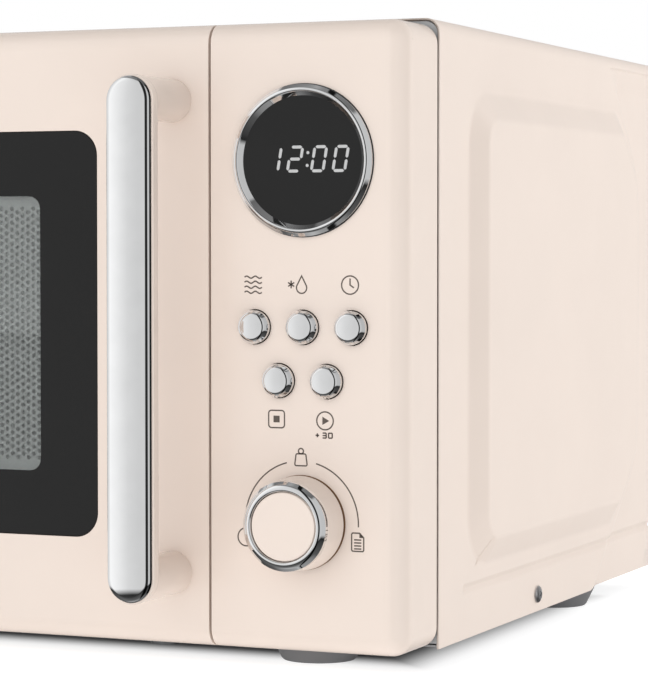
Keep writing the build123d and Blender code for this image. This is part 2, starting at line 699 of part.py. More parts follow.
def make_door_pan():
    """Steel inner door: a flange at the back and a dished screen behind the window."""
    back = -3.2
    hollow = DISH_MARGIN - SHEET
    flange = block(-198, 117, back - SHEET, back, 12, 234) - screen_box(hollow, -35, 0)
    dish = screen_box(DISH_MARGIN, SCREEN_FRONT, back) - screen_box(hollow, SCREEN_FRONT + SHEET, 0)
    return flange + dish


def make_choke_cover():
    """Moulded ring that closes the back of the door around the screen."""
    ring = block(-199, 134, -3.1, -1.3, 6, 239) - screen_box(12, -30, 5)
    return ring - hook_slots(-5, 5)


def make_inner_window():
    """Clear sheet on the cavity side of the screen."""
    return screen_box(12.5, SCREEN_FRONT + 1.0, SCREEN_FRONT + 2.0)


def handle_post_levels():
    """Heights of the two handle posts, just inside the bar's ends."""
    inset = POST_RADIUS + 0.4
    return (HANDLE_BOTTOM + inset, HANDLE_TOP - inset)


def make_handle():
    """Bar with round ends on two posts, and the chrome strip on its front."""
    length = HANDLE_TOP - HANDLE_BOTTOM
    middle = (HANDLE_TOP + HANDLE_BOTTOM) / 2
    trim_back = -HANDLE_REACH + TRIM_THICKNESS
    bar_back = trim_back + HANDLE_BAR_THICKNESS
    bar_outline = Rot(0, 0, 90) * SlotOverall(length, HANDLE_WIDTH)
    bar = upright_slab(bar_outline, HANDLE_X, middle, trim_back, bar_back)
    for z in handle_post_levels():
        bar += rod(HANDLE_X, z, POST_RADIUS, bar_back, FRONT_FACE)
        bar -= rod(HANDLE_X, z, POST_BORE_RADIUS, -50, -30)
    trim_outline = Rot(0, 0, 90) * SlotOverall(length - 1.4, HANDLE_WIDTH - 1.4)
    trim = upright_slab(trim_outline, HANDLE_X, middle, -HANDLE_REACH, trim_back)
    trim = fillet(trim.faces().sort_by(Axis.Y)[0].edges(), 1.6)
    return bar, trim


def make_handle_screws():
    """Two screws from inside the door into the handle's posts."""
    screws = []
    for z in handle_post_levels():
        head = rod(HANDLE_X, z, SCREW_HEAD_RADIUS, SKIN_BACK, SKIN_BACK + 2.4)
        screws.append(head + rod(HANDLE_X, z, POST_BORE_RADIUS - 0.05, -49, SKIN_BACK))
    return screws


def make_hinge_pins():
    """Two steel pins in the door's solid corners, one through each hinge arm."""
    spans = [(level - HINGE_PIN_REACH, level + HINGE_PIN_REACH) for level in HINGE_LEVELS]
    return [post(HINGE_X, HINGE_Y, HINGE_PIN_RADIUS, low, high) for low, high in spans]


def make_latch_hook():
    """Sliding plate inside the door's free edge with two hooks that reach into the cabinet."""
    hook = block(HOOK_LEFT, HOOK_RIGHT, -16, -5, 86, 164)
    for z0 in HOOK_LEVELS:
        hook += block(HOOK_LEFT, HOOK_RIGHT, -5, 20, z0, z0 + 8)
        hook += block(HOOK_LEFT, HOOK_RIGHT, 14, 20, z0 - 3.5, z0)
    return hook


# ---------------------------------------------------------------- turntable
def roller_height():
    """Height of the rollers' axles above the cover's lower edge."""
    return CAVITY_BOTTOM + ROLLING_GAP + ROLLER_RADIUS


def roller_angles():
    """Three rollers, evenly around the ring."""
    return (30, 150, 270)


def at_table(angle):
    """Turn a piece drawn along +X to its angle about the turntable's axis."""
    return Pos(TABLE_X, TABLE_Y, roller_height()) * Rot(0, 0, angle)


def make_glass_tray():
    """Shallow glass dish with a rim, and three lugs under it that the coupler drives."""
    under = roller_height() + ROLLER_RADIUS + ROLLING_GAP
    tray = lathe_z((
        (0, under), (104, under), (112, under + 2.0), (120, under + 9.0),
        (TRAY_RADIUS, under + 10.5), (TRAY_RADIUS, under + 12.5), (118.5, under + 12.5),
        (110.5, under + 6.5), (104, under + 4.5), (0, under + 4.5),
    ), TABLE_X, TABLE_Y)
    for angle in roller_angles():
        lug = Pos(TABLE_X, TABLE_Y, under) * Rot(0, 0, angle + 60) * Pos(22, 0, -2.0) * Box(5, 8, 4.0)
        tray += lug
    return tray


def make_turntable_coupler():
    """Three-armed hub that turns the tray, with the shaft down to the motor."""
    base = CAVITY_BOTTOM + 0.6
    top = roller_height() + ROLLER_RADIUS + ROLLING_GAP
    hub = post(TABLE_X, TABLE_Y, 9.0, base, top)
    for angle in roller_angles():
        arm = Pos(TABLE_X, TABLE_Y, top - 4.5) * Rot(0, 0, angle) * Pos(13, 0, 0) * Box(22, 8, 8.0)
        hub += arm
    return hub + post(TABLE_X, TABLE_Y, 3.5, 12.2, base)


def make_roller_ring():
    """Flat ring with three radial axles."""
    ring = Pos(TABLE_X, TABLE_Y, roller_height()) * (Cylinder(86, 5) - Cylinder(79, 6))
    for angle in roller_angles():
        axle = cross_rod(0, 0, AXLE_RADIUS, 84, 99)
        axle += cross_rod(0, 0, 3.2, 84, 88) + cross_rod(0, 0, 3.2, 97, 99.5)
        ring += at_table(angle) * axle
    return ring


def make_roller(angle):
    """One wheel of the roller ring."""
    half = 4.2
    wheel = cross_rod(0, 0, ROLLER_RADIUS, ROLLER_TRACK - half, ROLLER_TRACK + half)
    wheel = fillet(wheel.edges().filter_by(GeomType.CIRCLE), 1.2)
    wheel -= cross_rod(0, 0, AXLE_RADIUS + RUNNING_FIT, 80, 110)
    return at_table(angle) * wheel


# ---------------------------------------------------------------- write the pieces
os.makedirs("parts", exist_ok=True)

save("outer_cover", make_outer_cover())
save("rear_panel", make_rear_panel())
save("base_plate", make_base_plate())
save("feet", *make_feet())
save("front_plate", make_front_plate())
for name, wall in make_cavity_walls().items():
    save(name, wall)
save("waveguide", make_waveguide())
save("waveguide_cover", make_waveguide_cover())
save("magnetron", make_magnetron(), make_filter_box())
transformer_core, transformer_coils = make_transformer()
save("transformer_core", transformer_core)
save("transformer_windings", *transformer_coils)
save("capacitor", make_capacitor())
save("hv_diode", make_hv_diode())
save("fan_duct", make_fan_duct())
save("fan_motor", make_fan_motor())
save("fan_blade", make_fan_blade())
save("turntable_motor", make_turntable_motor())
lamp_socket, oven_lamp = make_lamp()
save("lamp_socket", lamp_socket)
save("oven_lamp", oven_lamp)
save("latch_bracket", make_latch_bracket())
save("interlock_switches", *make_interlock_switches())
save("thermal_cutout", make_thermal_cutout())
save("filter_board", make_filter_board())
save("hinge_plates", *make_hinge_plates())
save("cover_screws", *make_cover_screws())
save("cord_gland", make_cord_gland())

save("control_panel", make_control_panel())
save("display_ring", make_display_ring())
save("display_lens", make_display_lens())
save("control_board", make_control_board())
save("tact_switches", *make_tact_switches())
save("encoder", make_encoder())
for name, (x, z) in BUTTON_PLACES.items():
    save(name, make_button(x, z))
for name, piece in zip(("knob_body", "knob_ring", "knob_shaft"), make_knob()):
    save(name, piece)

save("door_frame", make_door_frame())
save("door_window", make_door_window())
save("door_pan", make_door_pan())
save("choke_cover", make_choke_cover())
save("inner_window", make_inner_window())
handle_bar, handle_trim = make_handle()
save("handle_bar", handle_bar)
save("handle_trim", handle_trim)
save("handle_screws", *make_handle_screws())
save("hinge_pins", *make_hinge_pins())
save("latch_hook", make_latch_hook())

save("glass_tray", make_glass_tray())
save("turntable_coupler", make_turntable_coupler())
save("roller_ring", make_roller_ring())
for number, angle in enumerate(roller_angles(), start=1):
    save(f"roller_{number}", make_roller(angle))
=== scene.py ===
import json
import math

import bmesh
import bpy
import numpy as np
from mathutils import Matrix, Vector
from mathutils.geometry import delaunay_2d_cdt


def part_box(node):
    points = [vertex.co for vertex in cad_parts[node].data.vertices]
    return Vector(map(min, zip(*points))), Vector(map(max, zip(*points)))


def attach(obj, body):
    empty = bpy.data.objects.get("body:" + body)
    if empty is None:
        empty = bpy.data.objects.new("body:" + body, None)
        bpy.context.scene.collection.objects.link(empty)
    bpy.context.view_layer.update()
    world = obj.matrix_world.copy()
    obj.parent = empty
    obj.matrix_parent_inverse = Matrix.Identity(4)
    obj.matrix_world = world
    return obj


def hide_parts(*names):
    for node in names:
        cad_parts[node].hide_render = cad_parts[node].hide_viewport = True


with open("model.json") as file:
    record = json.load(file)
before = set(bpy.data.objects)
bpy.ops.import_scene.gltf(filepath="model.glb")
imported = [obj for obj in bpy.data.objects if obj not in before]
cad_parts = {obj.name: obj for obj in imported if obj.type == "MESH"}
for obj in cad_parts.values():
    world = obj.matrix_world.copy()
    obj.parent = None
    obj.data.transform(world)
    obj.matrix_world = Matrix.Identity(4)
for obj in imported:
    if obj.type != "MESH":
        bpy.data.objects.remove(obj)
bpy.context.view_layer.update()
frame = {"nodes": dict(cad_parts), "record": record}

# Looks of the countertop microwave oven. Metres, +X right, -Y front, +Z up, floor at Z = 0.
MM = 0.001


# ---------------------------------------------------------------- materials
WHITE = (1.0, 1.0, 1.0, 1.0)


def add_node(tree, kind, inputs=(), **settings):
    """A new shader node; inputs maps a socket to a value or to another node's socket."""
    made = tree.nodes.new("ShaderNode" + kind)
    for name, value in settings.items():
        setattr(made, name, value)
    for name, value in dict(inputs).items():
        if isinstance(value, bpy.types.NodeSocket):
            tree.links.new(value, made.inputs[name])
        else:
            made.inputs[name].default_value = value
    return made


class Finish:
    """A Principled material whose methods add procedural detail; sizes are in metres."""

    def __init__(self, name, colour, roughness, **sockets):
        self.material = bpy.data.materials.new(name)
        self.material.use_nodes = True
        self.tree = self.material.node_tree
        self.shader = self.tree.nodes["Principled BSDF"]
        self.colour = colour
        self.shader.inputs["Base Color"].default_value = (*colour, 1.0)
        self.shader.inputs["Roughness"].default_value = roughness
        for socket, value in sockets.items():
            self.shader.inputs[socket.replace("_", " ")].default_value = value
        self.place = self.tree.nodes.new("ShaderNodeTexCoord").outputs["Object"]
        self.relief_before = None

    def node(self, kind, inputs=(), **settings):
        """A new node of this material."""
        return add_node(self.tree, kind, inputs, **settings)

    def drive(self, socket, value):
        """Link a value to a socket of the shader."""
        self.tree.links.new(value, self.shader.inputs[socket])

    def swing(self, factor, low, high):
        """A factor that hovers about one half, spread from low to high."""
        inputs = {"Value": factor, "From Min": 0.3, "From Max": 0.7, "To Min": low, "To Max": high}
        return self.node("MapRange", inputs).outputs[0]

    def noise(self, size, detail=2.0, stretch=(1.0, 1.0, 1.0)):
        """Cloudy noise with features of one size, longer along a stretched axis."""
        scale = [1.0 / s for s in stretch]
        where = self.node("Mapping", {"Vector": self.place, "Scale": scale}).outputs[0]
        return self.node("TexNoise", {"Vector": where, "Scale": 1.0 / size, "Detail": detail}).outputs[0]

    def cells(self, size, feature="F1"):
        """Crystal-like cells."""
        inputs = {"Vector": self.place, "Scale": 1.0 / size}
        return self.node("TexVoronoi", inputs, feature=feature).outputs[0]

    def ridges(self, pitch, axis):
        """Parallel ridges across one axis."""
        inputs = {"Vector": self.place, "Scale": 0.314 / pitch}
        return self.node("TexWave", inputs, bands_direction=axis).outputs["Fac"]

    def mottle(self, factor, spread):
        """Make the colour swing by a share of itself."""
        dark = [c * (1.0 - spread) for c in self.colour]
        light = [min(1.0, c * (1.0 + spread)) for c in self.colour]
        self.blend(factor, dark, light)

    def blend(self, factor, dark, light):
        """Colour between two tones."""
        inputs = {"Factor": self.swing(factor, 0.0, 1.0), 6: (*dark, 1.0), 7: (*light, 1.0)}
        self.drive("Base Color", self.node("Mix", inputs, data_type="RGBA").outputs[2])

    def polish(self, factor, low, high):
        """Roughness between two values."""
        self.drive("Roughness", self.swing(factor, low, high))

    def relief(self, factor, height):
        """A fine bump, on top of any before it."""
        bump = self.node("Bump", {"Height": factor, "Distance": height, "Strength": 1.0})
        if self.relief_before:
            self.tree.links.new(self.relief_before, bump.inputs["Normal"])
        self.relief_before = bump.outputs[0]
        self.drive("Normal", bump.outputs[0])


def painted_steel(name, colour, roughness):
    """Sprayed enamel: orange peel, a faint cloud in the tone, uneven gloss."""
    finish = Finish(name, colour, roughness)
    finish.mottle(finish.noise(0.05, 3.0), 0.012)
    finish.polish(finish.noise(0.012, 2.0), roughness - 0.02, roughness + 0.03)
    finish.relief(finish.noise(0.0030, 0.0), 6e-7)
    return finish


def moulded_plastic(name, colour, roughness, grain, depth):
    """Injection-moulded plastic with the mould's grain."""
    finish = Finish(name, colour, roughness)
    finish.mottle(finish.noise(0.04, 3.0), 0.012)
    finish.polish(finish.noise(0.008, 4.0), roughness - 0.03, roughness + 0.04)
    finish.relief(finish.noise(grain, 3.0), depth)
    return finish


def dark_gloss(name, colour, roughness):
    """Black printed glass or lens: weak coated gloss with faint wipe marks."""
    finish = Finish(name, colour, roughness, Specular_IOR_Level=0.30)
    finish.mottle(finish.noise(0.03, 2.0), 0.04)
    finish.polish(finish.noise(0.015, 3.0), roughness - 0.02, roughness + 0.03)
    finish.relief(finish.noise(0.02, 1.0), 1e-6)
    return finish


def bright_metal(name, colour, roughness):
    """Plated or polished metal with faint smears in its gloss."""
    finish = Finish(name, colour, roughness, Metallic=1.0)
    finish.mottle(finish.noise(0.01, 2.0), 0.02)
    finish.polish(finish.noise(0.004, 4.0), roughness * 0.6, roughness * 1.5)
    return finish


def rolled_metal(name, colour, roughness, stretch):
    """Bare sheet or turned metal with fine rolling lines."""
    finish = Finish(name, colour, roughness, Metallic=1.0)
    finish.mottle(finish.noise(0.02, 5.0), 0.10)
    lines = finish.noise(0.0004, 3.0, stretch)
    finish.polish(lines, roughness - 0.1, roughness + 0.12)
    finish.relief(lines, 3e-6)
    return finish


def zinc_spangle():
    """Galvanised steel with its crystal pattern."""
    finish = Finish("zinc_steel", (0.56, 0.57, 0.58), 0.42, Metallic=1.0)
    crystals = finish.cells(0.006)
    finish.mottle(crystals, 0.14)
    finish.polish(crystals, 0.34, 0.52)
    finish.relief(finish.noise(0.002, 3.0), 6e-6)
    return finish


def wound_copper():
    """Enamelled wire laid in turns."""
    finish = Finish("copper", (0.66, 0.25, 0.09), 0.32, Metallic=1.0)
    turns = finish.ridges(0.0009, "Z")
    finish.mottle(finish.noise(0.006, 4.0), 0.12)
    finish.polish(finish.noise(0.002, 2.0), 0.26, 0.42)
    finish.relief(turns, 1.2e-4)
    return finish


def stacked_steel():
    """Varnished lamination stack, one line per sheet."""
    finish = Finish("lamination", (0.22, 0.21, 0.20), 0.45, Metallic=0.7)
    sheets = finish.ridges(0.0007, "Y")
    finish.mottle(finish.noise(0.008, 5.0), 0.25)
    finish.polish(finish.noise(0.003, 3.0), 0.35, 0.6)
    finish.relief(sheets, 6e-5)
    return finish


def resin_board():
    """Paper-and-resin circuit board with a faint pattern of tracks."""
    finish = Finish("circuit_board", (0.42, 0.28, 0.11), 0.5)
    tracks = finish.cells(0.005, "SMOOTH_F1")
    finish.blend(tracks, (0.36, 0.24, 0.09), (0.48, 0.33, 0.14))
    finish.polish(finish.noise(0.003, 2.0), 0.42, 0.58)
    finish.relief(tracks, 3e-5)
    return finish


def mica_sheet():
    """Pressed mica flakes."""
    finish = Finish("mica", (0.52, 0.43, 0.30), 0.38)
    flakes = finish.cells(0.004)
    finish.blend(flakes, (0.44, 0.35, 0.23), (0.60, 0.52, 0.38))
    finish.polish(flakes, 0.25, 0.5)
    finish.relief(flakes, 2e-5)
    return finish


def clear(name, colour, roughness):
    """Glass or clear sheet with faint ripples and smears."""
    sockets = {"Transmission_Weight": 1.0, "IOR": 1.46}
    finish = Finish(name, colour, roughness, **sockets)
    finish.polish(finish.noise(0.01, 3.0), roughness, roughness + 0.03)
    finish.relief(finish.noise(0.03, 1.0), 1e-5)
    return finish


CREAM = (0.818, 0.709, 0.635)
FINISHES = {
    "cream_paint": painted_steel("cream_paint", CREAM, 0.30),
    "cream_plastic": moulded_plastic("cream_plastic", CREAM, 0.20, 0.0022, 2e-6),
    "chrome": bright_metal("chrome", (0.88, 0.885, 0.89), 0.04),
    "black_glass": dark_gloss("black_glass", (0.008, 0.008, 0.008), 0.06),
    "black_lens": dark_gloss("black_lens", (0.010, 0.010, 0.010), 0.07),
    "clear_film": clear("clear_film", (0.95, 0.96, 0.96), 0.05),
    "clear_glass": clear("clear_glass", (0.94, 0.98, 0.965), 0.0),
    "grey_enamel": painted_steel("grey_enamel", (0.42, 0.43, 0.44), 0.34),
    "black_enamel": painted_steel("black_enamel", (0.022, 0.022, 0.022), 0.38),
    "zinc_steel": zinc_spangle(),
    "lamination": stacked_steel(),
    "screw_steel": rolled_metal("screw_steel", (0.74, 0.74, 0.75), 0.42, (1, 1, 1)),
    "copper": wound_copper(),
    "aluminium": rolled_metal("aluminium", (0.78, 0.79, 0.80), 0.30, (8, 1, 1)),
    "black_plastic": moulded_plastic("black_plastic", (0.030, 0.030, 0.031), 0.45, 0.0010, 2e-5),
    "white_plastic": moulded_plastic("white_plastic", (0.78, 0.78, 0.75), 0.40, 0.0010, 1e-5),
    "foot_plastic": moulded_plastic("foot_plastic", (0.17, 0.17, 0.175), 0.55, 0.0010, 2e-5),
    "circuit_board": resin_board(),
    "mica": mica_sheet(),
}


def finish_cad_nodes():
    """Give every carried-over node the finish of its slot."""
    for row in frame["record"]["subparts"]:
        node = frame["nodes"][row["node"]]
        node.data.materials.clear()
        node.data.materials.append(FINISHES[row["material_slot"]].material)


# ---------------------------------------------------------------- mesh helpers
# Points nearer than this become one.
WELD = 1e-6
FINE_WELD = 1e-8
FINEST_WELD = 1e-9


def placed(name, data):
    """A new object in the scene."""
    made = bpy.data.objects.new(name, data)
    bpy.context.scene.collection.objects.link(made)
    return made


def add_object(name, shape, slot, body, weld=WELD, finish=None):
    """Put a shape in the scene as one piece of the oven, in its slot's finish or in one of its own."""
    piece = placed(name, mesh_from(name, *shape, weld=weld))
    piece.data.materials.append((finish or FINISHES[slot]).material)
    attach(piece, body)
    return piece


def mesh_from(name, points, faces, weld=WELD):
    """A smooth-shaded mesh with coincident points joined and its faces turned outwards."""
    mesh = bpy.data.meshes.new(name)
    mesh.from_pydata([tuple(p) for p in points], [], faces)
    form = bmesh.new()
    form.from_mesh(mesh)
    bmesh.ops.remove_doubles(form, verts=form.verts, dist=weld)
    bmesh.ops.recalc_face_normals(form, faces=form.faces)
    form.to_mesh(mesh)
    form.free()
    mesh.polygons.foreach_set("use_smooth", [True] * len(mesh.polygons))
    return mesh


def even_shading(piece, sharp_degrees=None):
    """Let large flat faces keep their own normal, and keep corners above an angle sharp."""
    if sharp_degrees is not None:
        piece.data.set_sharp_from_angle(angle=math.radians(sharp_degrees))
    weighted = piece.modifiers.new("even_shading", "WEIGHTED_NORMAL")
    weighted.keep_sharp = True
    weighted.weight = 100


def unit(vector):
    """A vector's direction."""
    return vector / np.linalg.norm(vector)


def left_of(vector):
    """A flat vector turned a quarter to its left."""
    return np.array((-vector[1], vector[0]))


def rounded_outline(corners, radii, inset=0.0, step_degrees=8.0, run=None):
    """A convex outline with rounded corners, moved in by an inset; long straights are divided."""
    count = len(corners)
    points = []
    for i in range(count):
        corner = np.array(corners[i])
        back = unit(np.array(corners[i - 1]) - corner)
        ahead = unit(np.array(corners[(i + 1) % count]) - corner)
        half = math.acos(float(np.clip(back @ ahead, -1, 1))) / 2
        bisector = unit(back + ahead)
        centre = corner + bisector * radii[i] / math.sin(half)
        radius = radii[i] - inset
        sweep = math.pi - 2 * half
        steps = max(2, round(math.degrees(sweep) / step_degrees))
        start = math.atan2(-bisector[1], -bisector[0])
        turn = back[0] * ahead[1] - back[1] * ahead[0]
        side = -1.0 if turn > 0 else 1.0
        for k in range(steps + 1):
            angle = start + side * sweep * (k / steps - 0.5)
            points.append(centre + radius * np.array((math.cos(angle), math.sin(angle))))
    if run is None:
        return np.array(points)
    divided = []
    for i, point in enumerate(points):
        following = points[(i + 1) % len(points)]
        pieces = max(1, round(np.linalg.norm(following - point) / run))
        divided += [point + (following - point) * k / pieces for k in range(pieces)]
    return np.array(divided)


def distance_to(points, outline, closed):
    """Distance from each point to a chain of straight segments."""
    ends = np.roll(outline, -1, axis=0) if closed else outline[1:]
    starts = outline if closed else outline[:-1]
    along = ends - starts
    to_point = points[:, None, :] - starts[None, :, :]
    share = np.clip((to_point * along).sum(2) / (along ** 2).sum(1), 0, 1)
    gap = to_point - share[:, :, None] * along
    return np.sqrt((gap ** 2).sum(2)).min(1)


def is_inside(points, outline):
    """Whether each point lies inside a closed outline."""
    x, y = points[:, 0][:, None], points[:, 1][:, None]
    x0, y0 = outline[:, 0][None, :], outline[:, 1][None, :]
    x1, y1 = np.roll(outline[:, 0], -1)[None, :], np.roll(outline[:, 1], -1)[None, :]
    crosses = (y0 > y) != (y1 > y)
    safe = np.where(y1 == y0, 1e-9, y1 - y0)
    left = x < (x1 - x0) * (y - y0) / safe + x0
    return (crosses & left).sum(1) % 2 == 1


def depth_inside(points, line, area, closed):
    """Distance from a line, positive on the side of an area and negative outside it."""
    distance = distance_to(points, line, closed)
    return np.where(is_inside(points, area), distance, -distance)


def soft_ramp(distance, run, blend):
    """Rises from 0 to 1 over a run, with both bends rounded over a blend length."""
    def bend(x):
        return np.where(x <= -blend, 0.0, np.where(x >= blend, x, (x + blend) ** 2 / (4 * blend)))
    return (bend(distance) - bend(distance - run)) / run


def loft(rings, cap_first=True, cap_last=True, closed=True):
    """Points and faces of a skin through rings with equal counts."""
    count = len(rings[0])
    points = [point for ring in rings for point in ring]
    faces = []
    for row in range(len(rings) - 1):
        for k in range(count if closed else count - 1):
            a = row * count + k
            b = row * count + (k + 1) % count
            faces.append((a, b, b + count, a + count))
    if cap_first:
        faces.append(tuple(range(count)))
    if cap_last:
        faces.append(tuple(range(len(points) - count, len(points))))
    return points, faces


def joined(parts):
    """Several point-and-face sets as one."""
    points = []
    faces = []
    for some_points, some_faces in parts:
        base = len(points)
        points += some_points
        faces += [tuple(base + i for i in face) for face in some_faces]
    return points, faces


def in_plane(path, y):
    """Points (x, z) in the plane Y = y."""
    return [(x, y, z) for x, z in path]


def arc(x, z, radius, start, end, steps):
    """Points along a circle, in degrees from +X towards +Z."""
    angles = [math.radians(start + (end - start) * k / steps) for k in range(steps + 1)]
    return [(x + radius * math.cos(a), z + radius * math.sin(a)) for a in angles]


def stadium(x, low, high, radius, y, steps=22):
    """A ring in the plane Y = y around an upright spine from low to high."""
    return in_plane(arc(x, high, radius, 0, 180, steps) + arc(x, low, radius, 180, 360, steps), y)


def circle(x, z, radius, y, steps):
    """A ring in the plane Y = y."""
    return in_plane(arc(x, z, radius, 0, 360, steps)[:-1], y)


def apply_modifiers(piece):
    """Replace a piece's mesh with its own modifiers' result."""
    bpy.context.view_layer.update()
    seen = piece.evaluated_get(bpy.context.evaluated_depsgraph_get())
    mesh = bpy.data.meshes.new_from_object(seen)
    mesh.name = piece.name
    piece.modifiers.clear()
    piece.data = mesh


def combine(piece, shape, operation):
    """Join a shape to a piece, or cut it out, as solids."""
    tool = placed("tool", mesh_from("tool", *shape))
    step = piece.modifiers.new("combine", "BOOLEAN")
    step.operation = operation
    step.solver = "EXACT"
    step.object = tool
    apply_modifiers(piece)
    bpy.data.objects.remove(tool)


# ---------------------------------------------------------------- outer cover
# The flank is drawn in (y, z) from the cover's lower front corner.
COVER_LOW, COVER_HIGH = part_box("outer_cover")
COVER_DEPTH = COVER_HIGH.y - COVER_LOW.y
COVER_HEIGHT = COVER_HIGH.z - COVER_LOW.z
SHEET = 0.8 * MM
# The embossed field on each flank: how far it stands out, and over what run.
EMBOSS_RISE = 5.5 * MM
EMBOSS_RUN = 11.0 * MM
FLANK_X = COVER_HIGH.x - EMBOSS_RISE
FOLD = 6.0 * MM
# Half the width of the opening at the back, and its height.
FLANGE_X = 200.0 * MM
FLANGE_Z = 232.0 * MM
EMBOSS_CORNERS = [
    (0.0327, 0.028), (0.228, 0.028), (0.262, 0.056), (0.262, 0.192), (0.234, 0.2203), (0.0327, 0.2203),
]
EMBOSS_RADII = [0.022, 0.0135, 0.0135, 0.0135, 0.0135, 0.022]
EMBOSS_BLEND = 1.3 * MM
TUCK_DEPTH = 4.0 * MM
TUCK_RUN = 7.0 * MM
TUCK_BLEND = 1.5 * MM
TUCK_BEND = 22.0 * MM
TUCK_FADE = 12.0 * MM
TUCK_LINE = [(0.155, 0.316), (0.272, 0.190), (0.272, 0.058), (0.136, -0.052)]
# The crease low on the flank: its front end, then the heights of its top, deepest and last line.
CREASE_START = 27.6 * MM
CREASE_TOP = 22.3 * MM
CREASE_DEEP = 20.1 * MM
CREASE_END = 17.7 * MM
CREASE_DEPTH = 1.3 * MM
# The short fold line in the lower front corner of the emboss.
MITRE = np.array([(0.0495, 0.0390), (0.0432, 0.0293)])
MITRE_DEPTH = 0.60 * MM
MITRE_HALF = 0.90 * MM


def tuck_outline():
    """The front edge of the drawn-in back, its two bends rounded."""
    first, upper, lower, last = (np.array(p) for p in TUCK_LINE)
    points = [first]
    for corner, before, after in ((upper, first, lower), (lower, upper, last)):
        start = corner + unit(before - corner) * TUCK_BEND
        end = corner + unit(after - corner) * TUCK_BEND
        for k in range(9):
            t = k / 8
            points.append((1 - t) ** 2 * start + 2 * t * (1 - t) * corner + t ** 2 * end)
    points.append(last)
    return np.array(points)


def flank_height(points, emboss, tuck):
    """How far the flank stands out at each (y, z)."""
    inward = depth_inside(points, emboss, emboss, True)
    height = EMBOSS_RISE * soft_ramp(inward, EMBOSS_RUN, EMBOSS_BLEND)
    y, z = points[:, 0], points[:, 1]
    behind = np.vstack([tuck, [[0.5, tuck[-1][1]], [0.5, tuck[0][1]]]])
    drawn = depth_inside(points, tuck, behind, False)
    fade = soft_ramp(COVER_HEIGHT - FOLD - z, TUCK_FADE, 2 * MM)
    height -= TUCK_DEPTH * soft_ramp(drawn, TUCK_RUN, TUCK_BLEND) * fade
    steep = soft_ramp(CREASE_TOP - z, CREASE_TOP - CREASE_DEEP, 0.35 * MM)
    easing = soft_ramp(CREASE_DEEP - z, CREASE_DEEP - CREASE_END, 0.6 * MM)
    entry = soft_ramp(y - CREASE_START, 0.9 * MM, 0.2 * MM)
    height -= CREASE_DEPTH * (steep - easing) * entry
    folded = np.clip(1 - distance_to(points, MITRE, False) / MITRE_HALF, 0, 1)
    return height - MITRE_DEPTH * folded ** 1.5


def flank_points(tuck):
    """Points dense along the bends and sparse on the flats, with the loops to keep as edges."""
    top = COVER_HEIGHT - FOLD
    spacing = 5 * MM
    bends = [EMBOSS_BLEND * k / 2 for k in range(-2, 3)]
    bends += [EMBOSS_RUN + EMBOSS_BLEND * k / 2 for k in range(-2, 3)]
    points = []
    loops = []
    for inset in bends:
        ring = rounded_outline(EMBOSS_CORNERS, EMBOSS_RADII, inset, 6.0, spacing)
        loops.append(range(len(points), len(points) + len(ring)))
        points += [tuple(p) for p in ring]
    edges = [(loop[i - 1], loop[i]) for loop in loops for i in range(len(loop))]
    bands = ((CREASE_TOP, 0.35 * MM), (CREASE_DEEP, 0.5 * MM), (CREASE_END, 0.6 * MM))
    rows = [level + step * k for level, step in bands for k in (-1, 0, 1)]
    columns = [CREASE_START + 0.3 * MM * k for k in range(-1, 5)]
    columns += [*np.arange(CREASE_START + 8 * MM, COVER_DEPTH, 8 * MM), COVER_DEPTH]
    for z in rows:
        base = len(points)
        points += [(y, z) for y in columns]
        edges += [(base + k, base + k + 1) for k in range(len(columns) - 1)]
    across = left_of(unit(MITRE[1] - MITRE[0]))
    for offset in (-MITRE_HALF, -MITRE_HALF / 3, 0.0, MITRE_HALF / 3, MITRE_HALF):
        for share in np.linspace(0.0, 1.0, 12):
            points.append(tuple(MITRE[0] + (MITRE[1] - MITRE[0]) * share + across * offset))
    for k in range(-2, 10):
        offset = k * MM
        for a, b in zip(tuck[:-1], tuck[1:]):
            pieces = max(1, round(np.linalg.norm(b - a) / spacing))
            across = left_of(unit(b - a))
            points += [tuple(a + (b - a) * i / pieces + across * offset) for i in range(pieces)]
    for y in np.linspace(0, COVER_DEPTH, 32):
        levels = [z for z in np.linspace(0, top, 27) if not CREASE_END - MM < z < CREASE_TOP + MM]
        points += [(y, z) for z in levels]
    # The rear top corner, where the drawn-in back fades out, is finer.
    for y in np.linspace(190 * MM, COVER_DEPTH, 30):
        points += [(y, z) for z in np.linspace(top - 16 * MM, top, 9)]

    def in_sheet(y, z):
        return 0 <= round(y, 9) <= COVER_DEPTH + 1e-9 and 0 <= round(z, 9) <= top + 1e-9

    kept = [i for i, point in enumerate(points) if in_sheet(*point)]
    place = {old: new for new, old in enumerate(kept)}
    edges = [(place[a], place[b]) for a, b in edges if a in place and b in place]
    return [points[i] for i in kept], edges


def rear_edge(plan, heights, arch):
    """The cover's outline at the back, from the lower right corner over the top to the lower left."""
    right = sorted((z, FLANK_X + h) for (y, z), h in zip(plan, heights) if abs(y - COVER_DEPTH) < 1e-6)
    climb = [(x, z) for z, x in right]
    return climb + arch[1:-1] + [(-x, z) for x, z in reversed(climb)]


def from_cover_corner(x, y, z):
    """A point of the shared frame, from its depth and height past the cover's lower front edge."""
    return x, COVER_LOW.y + y, COVER_LOW.z + z


